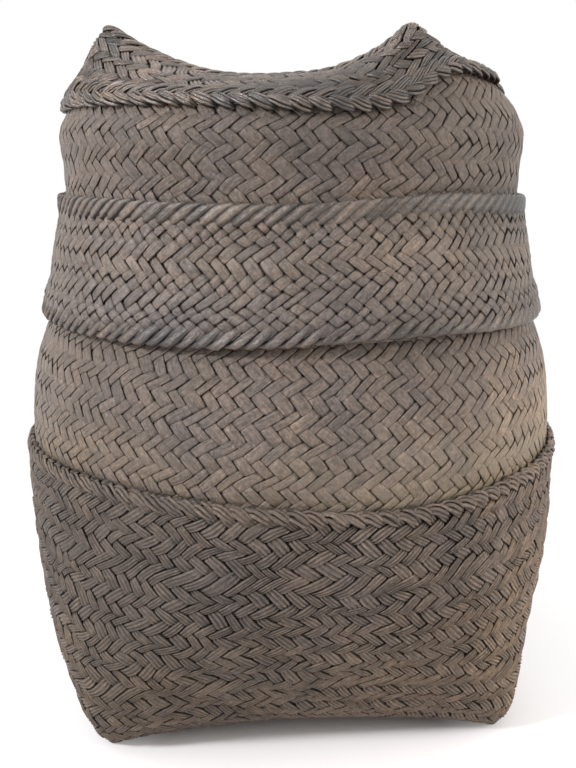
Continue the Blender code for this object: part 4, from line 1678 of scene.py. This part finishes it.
def build_band():
    """The band round the lid's skirt, with the ridge that stands along its top and the rim."""
    face = band_rows((BAND_HIGH[0], RIDGE_HIGH[0] - RIDGE_WALL))
    plait = Plait(Skin(face, RIM_WAVE, RIDGE_WAVE), BAND_STRIPS, *BAND_WIDTHS)
    style = Style(
        BAND_SECTION, (2, 1, 1, 1, 2, 1, 1, 2), BAND_LIFT, inset=0.0006, bulge=0.0008,
        narrow=0.86, wander=0.0010, rough=1.6,
    )
    lay_plait("band", plait, style, BAND, "lid", BAND_STANDS_FOR, seed=101)

    outer, inner = face[-1][0], LID_WALL + RIDGE_GAP
    top = RIDGE_HIGH[2] + RIDGE_STAND
    ridge_line = line_from(RIDGE_OUTER_LINE, outer, top) + line_from(RIDGE_INNER_LINE, inner, top)
    build_fold(
        "ridge", ridge_line, RIDGE_WAVE, RIDGE_HOOP_DEPTH,
        turns=2.7, width=1.2, seed=111, shown_end=0,
    )

    outer, low = face[0][0], RIM_LOW[2]
    inner = outer - RIM_DEPTH
    rim_line = line_from(RIM_INNER_LINE, inner, low) + line_from(RIM_OUTER_LINE, outer, low)
    build_fold(
        "rim", rim_line, RIM_WAVE, RIM_HOOP_DEPTH,
        turns=3.0, width=1.0, seed=121, shown_end=1, shingle=0.0021,
    )


# The floor glows like white paper where it is seen, less so near the feet and in their shadow,
# by the distance from the basket's middle and from a place ahead of it
FLOOR_SIZE = 14
FLOOR_COLOUR = (0.96, 0.93, 0.93, 1)
WHITE = (1.0, 1.0, 1.0, 1)
PAPER_GLOW = 0.66
PAPER_REACH = (0.22, 0.50)
SHADOW_GLOW = 0.0
SHADOW_PLACE = (0.0, -0.17, 0.0)
SHADOW_REACH = (0.10, 0.24)

# The world's light falls off towards the front and towards the right
BACK_LIGHT, FRONT_LIGHT = 1.22, 0.30
RIGHT_SHARE = 0.72

# Lamps: name, place, size, power and colour
LAMPS = (
    ("key", (-1.4, -0.8, 1.3), 0.25, 30, (0.94, 0.97, 1.0)),
    ("fill", (1.6, -0.6, 0.9), 1.0, 18, (1.0, 0.94, 0.87)),
    ("top", (0.0, 0.3, 1.8), 1.5, 8, (1.0, 1.0, 1.0)),
)
LAMP_AIM = (0, 0, 0.2)

CAMERA_PLACE = (-0.0493, -0.6070, 0.3461)
CAMERA_TILT = 75.6
CAMERA_TURN = -4.45
LENS = 43.125
SENSOR_WIDTH = 36


def build_floor():
    """The white paper that the basket stands on."""
    deselect()
    bpy.ops.mesh.primitive_plane_add(size=FLOOR_SIZE)
    floor = bpy.context.object
    floor.name = "studio_floor"
    made = bpy.data.materials.new("studio_floor")
    made.use_nodes = True
    w = Nodes(made.node_tree)
    shader = made.node_tree.nodes["Principled BSDF"]
    w.give(shader.inputs["Base Color"], FLOOR_COLOUR)
    w.give(shader.inputs["Roughness"], 0.9)
    paper = w.add("ShaderNodeEmission", {"Color": WHITE}).outputs[0]
    place = w.add("ShaderNodeTexCoord").outputs["Object"]
    reach = w.add("ShaderNodeVectorMath", {0: place}, operation="LENGTH")
    ahead = w.add("ShaderNodeVectorMath", {0: place, 1: SHADOW_PLACE}, operation="DISTANCE")
    glow = w.math(
        "MINIMUM", w.spread(reach.outputs["Value"], *PAPER_REACH, PAPER_GLOW, 1.0),
        w.spread(ahead.outputs["Value"], *SHADOW_REACH, SHADOW_GLOW, 1.0),
    )
    share = w.math("MULTIPLY", w.seen_directly(), glow)
    mixed = w.add("ShaderNodeMixShader", {0: share, 1: shader.outputs[0], 2: paper})
    w.give(made.node_tree.nodes["Material Output"].inputs["Surface"], mixed.outputs[0])
    floor.data.materials.append(made)
    floor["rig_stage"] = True


def build_world():
    """A soft white room, dimmer in front and at the right, and plain white where it is seen."""
    world = bpy.data.worlds.new("studio")
    bpy.context.scene.world = world
    world.use_nodes = True
    w = Nodes(world.node_tree)
    heading = w.add("ShaderNodeTexCoord").outputs["Generated"]
    heading = w.add("ShaderNodeSeparateXYZ", {0: heading}).outputs
    strength = w.spread(heading["Y"], -0.95, -0.20, FRONT_LIGHT, BACK_LIGHT)
    aside = w.spread(heading["X"], -0.2, 0.9, 1.0, RIGHT_SHARE)
    strength = w.math("MULTIPLY", strength, aside)
    strength = w.spread(w.seen_directly(), 0.0, 1.0, strength, 1.0)
    sky = world.node_tree.nodes["Background"]
    w.give(sky.inputs["Color"], WHITE)
    w.give(sky.inputs["Strength"], strength)


def build_lamps():
    """Area lamps that look at the middle of the basket."""
    for name, place, size, power, tint in LAMPS:
        lamp = bpy.data.lights.new(name, "AREA")
        lamp.size = size
        lamp.energy = power
        lamp.color = tint
        holder = bpy.data.objects.new(name, lamp)
        bpy.context.scene.collection.objects.link(holder)
        holder.location = place
        aim = np.array(LAMP_AIM) - np.array(place)
        tilt = math.atan2(math.hypot(aim[0], aim[1]), -aim[2])
        holder.rotation_euler = (tilt, 0, math.atan2(aim[1], aim[0]) - math.pi / 2)


def build_camera():
    """The camera, as fitted to the photograph."""
    lens = bpy.data.cameras.new("camera")
    lens.sensor_width = SENSOR_WIDTH
    lens.lens = LENS
    camera = bpy.data.objects.new("camera", lens)
    bpy.context.scene.collection.objects.link(camera)
    camera.location = CAMERA_PLACE
    camera.rotation_euler = (math.radians(CAMERA_TILT), 0, math.radians(CAMERA_TURN))
    bpy.context.scene.camera = camera


build_camera()
build_floor()
build_world()
build_lamps()
bpy.context.scene.view_settings.view_transform = "Standard"
build_cover()
build_basket()
build_lid()
build_band()
for cad_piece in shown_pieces():
    if cad_piece.get("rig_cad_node"):
        cad_piece.material_slots[0].material = CANE
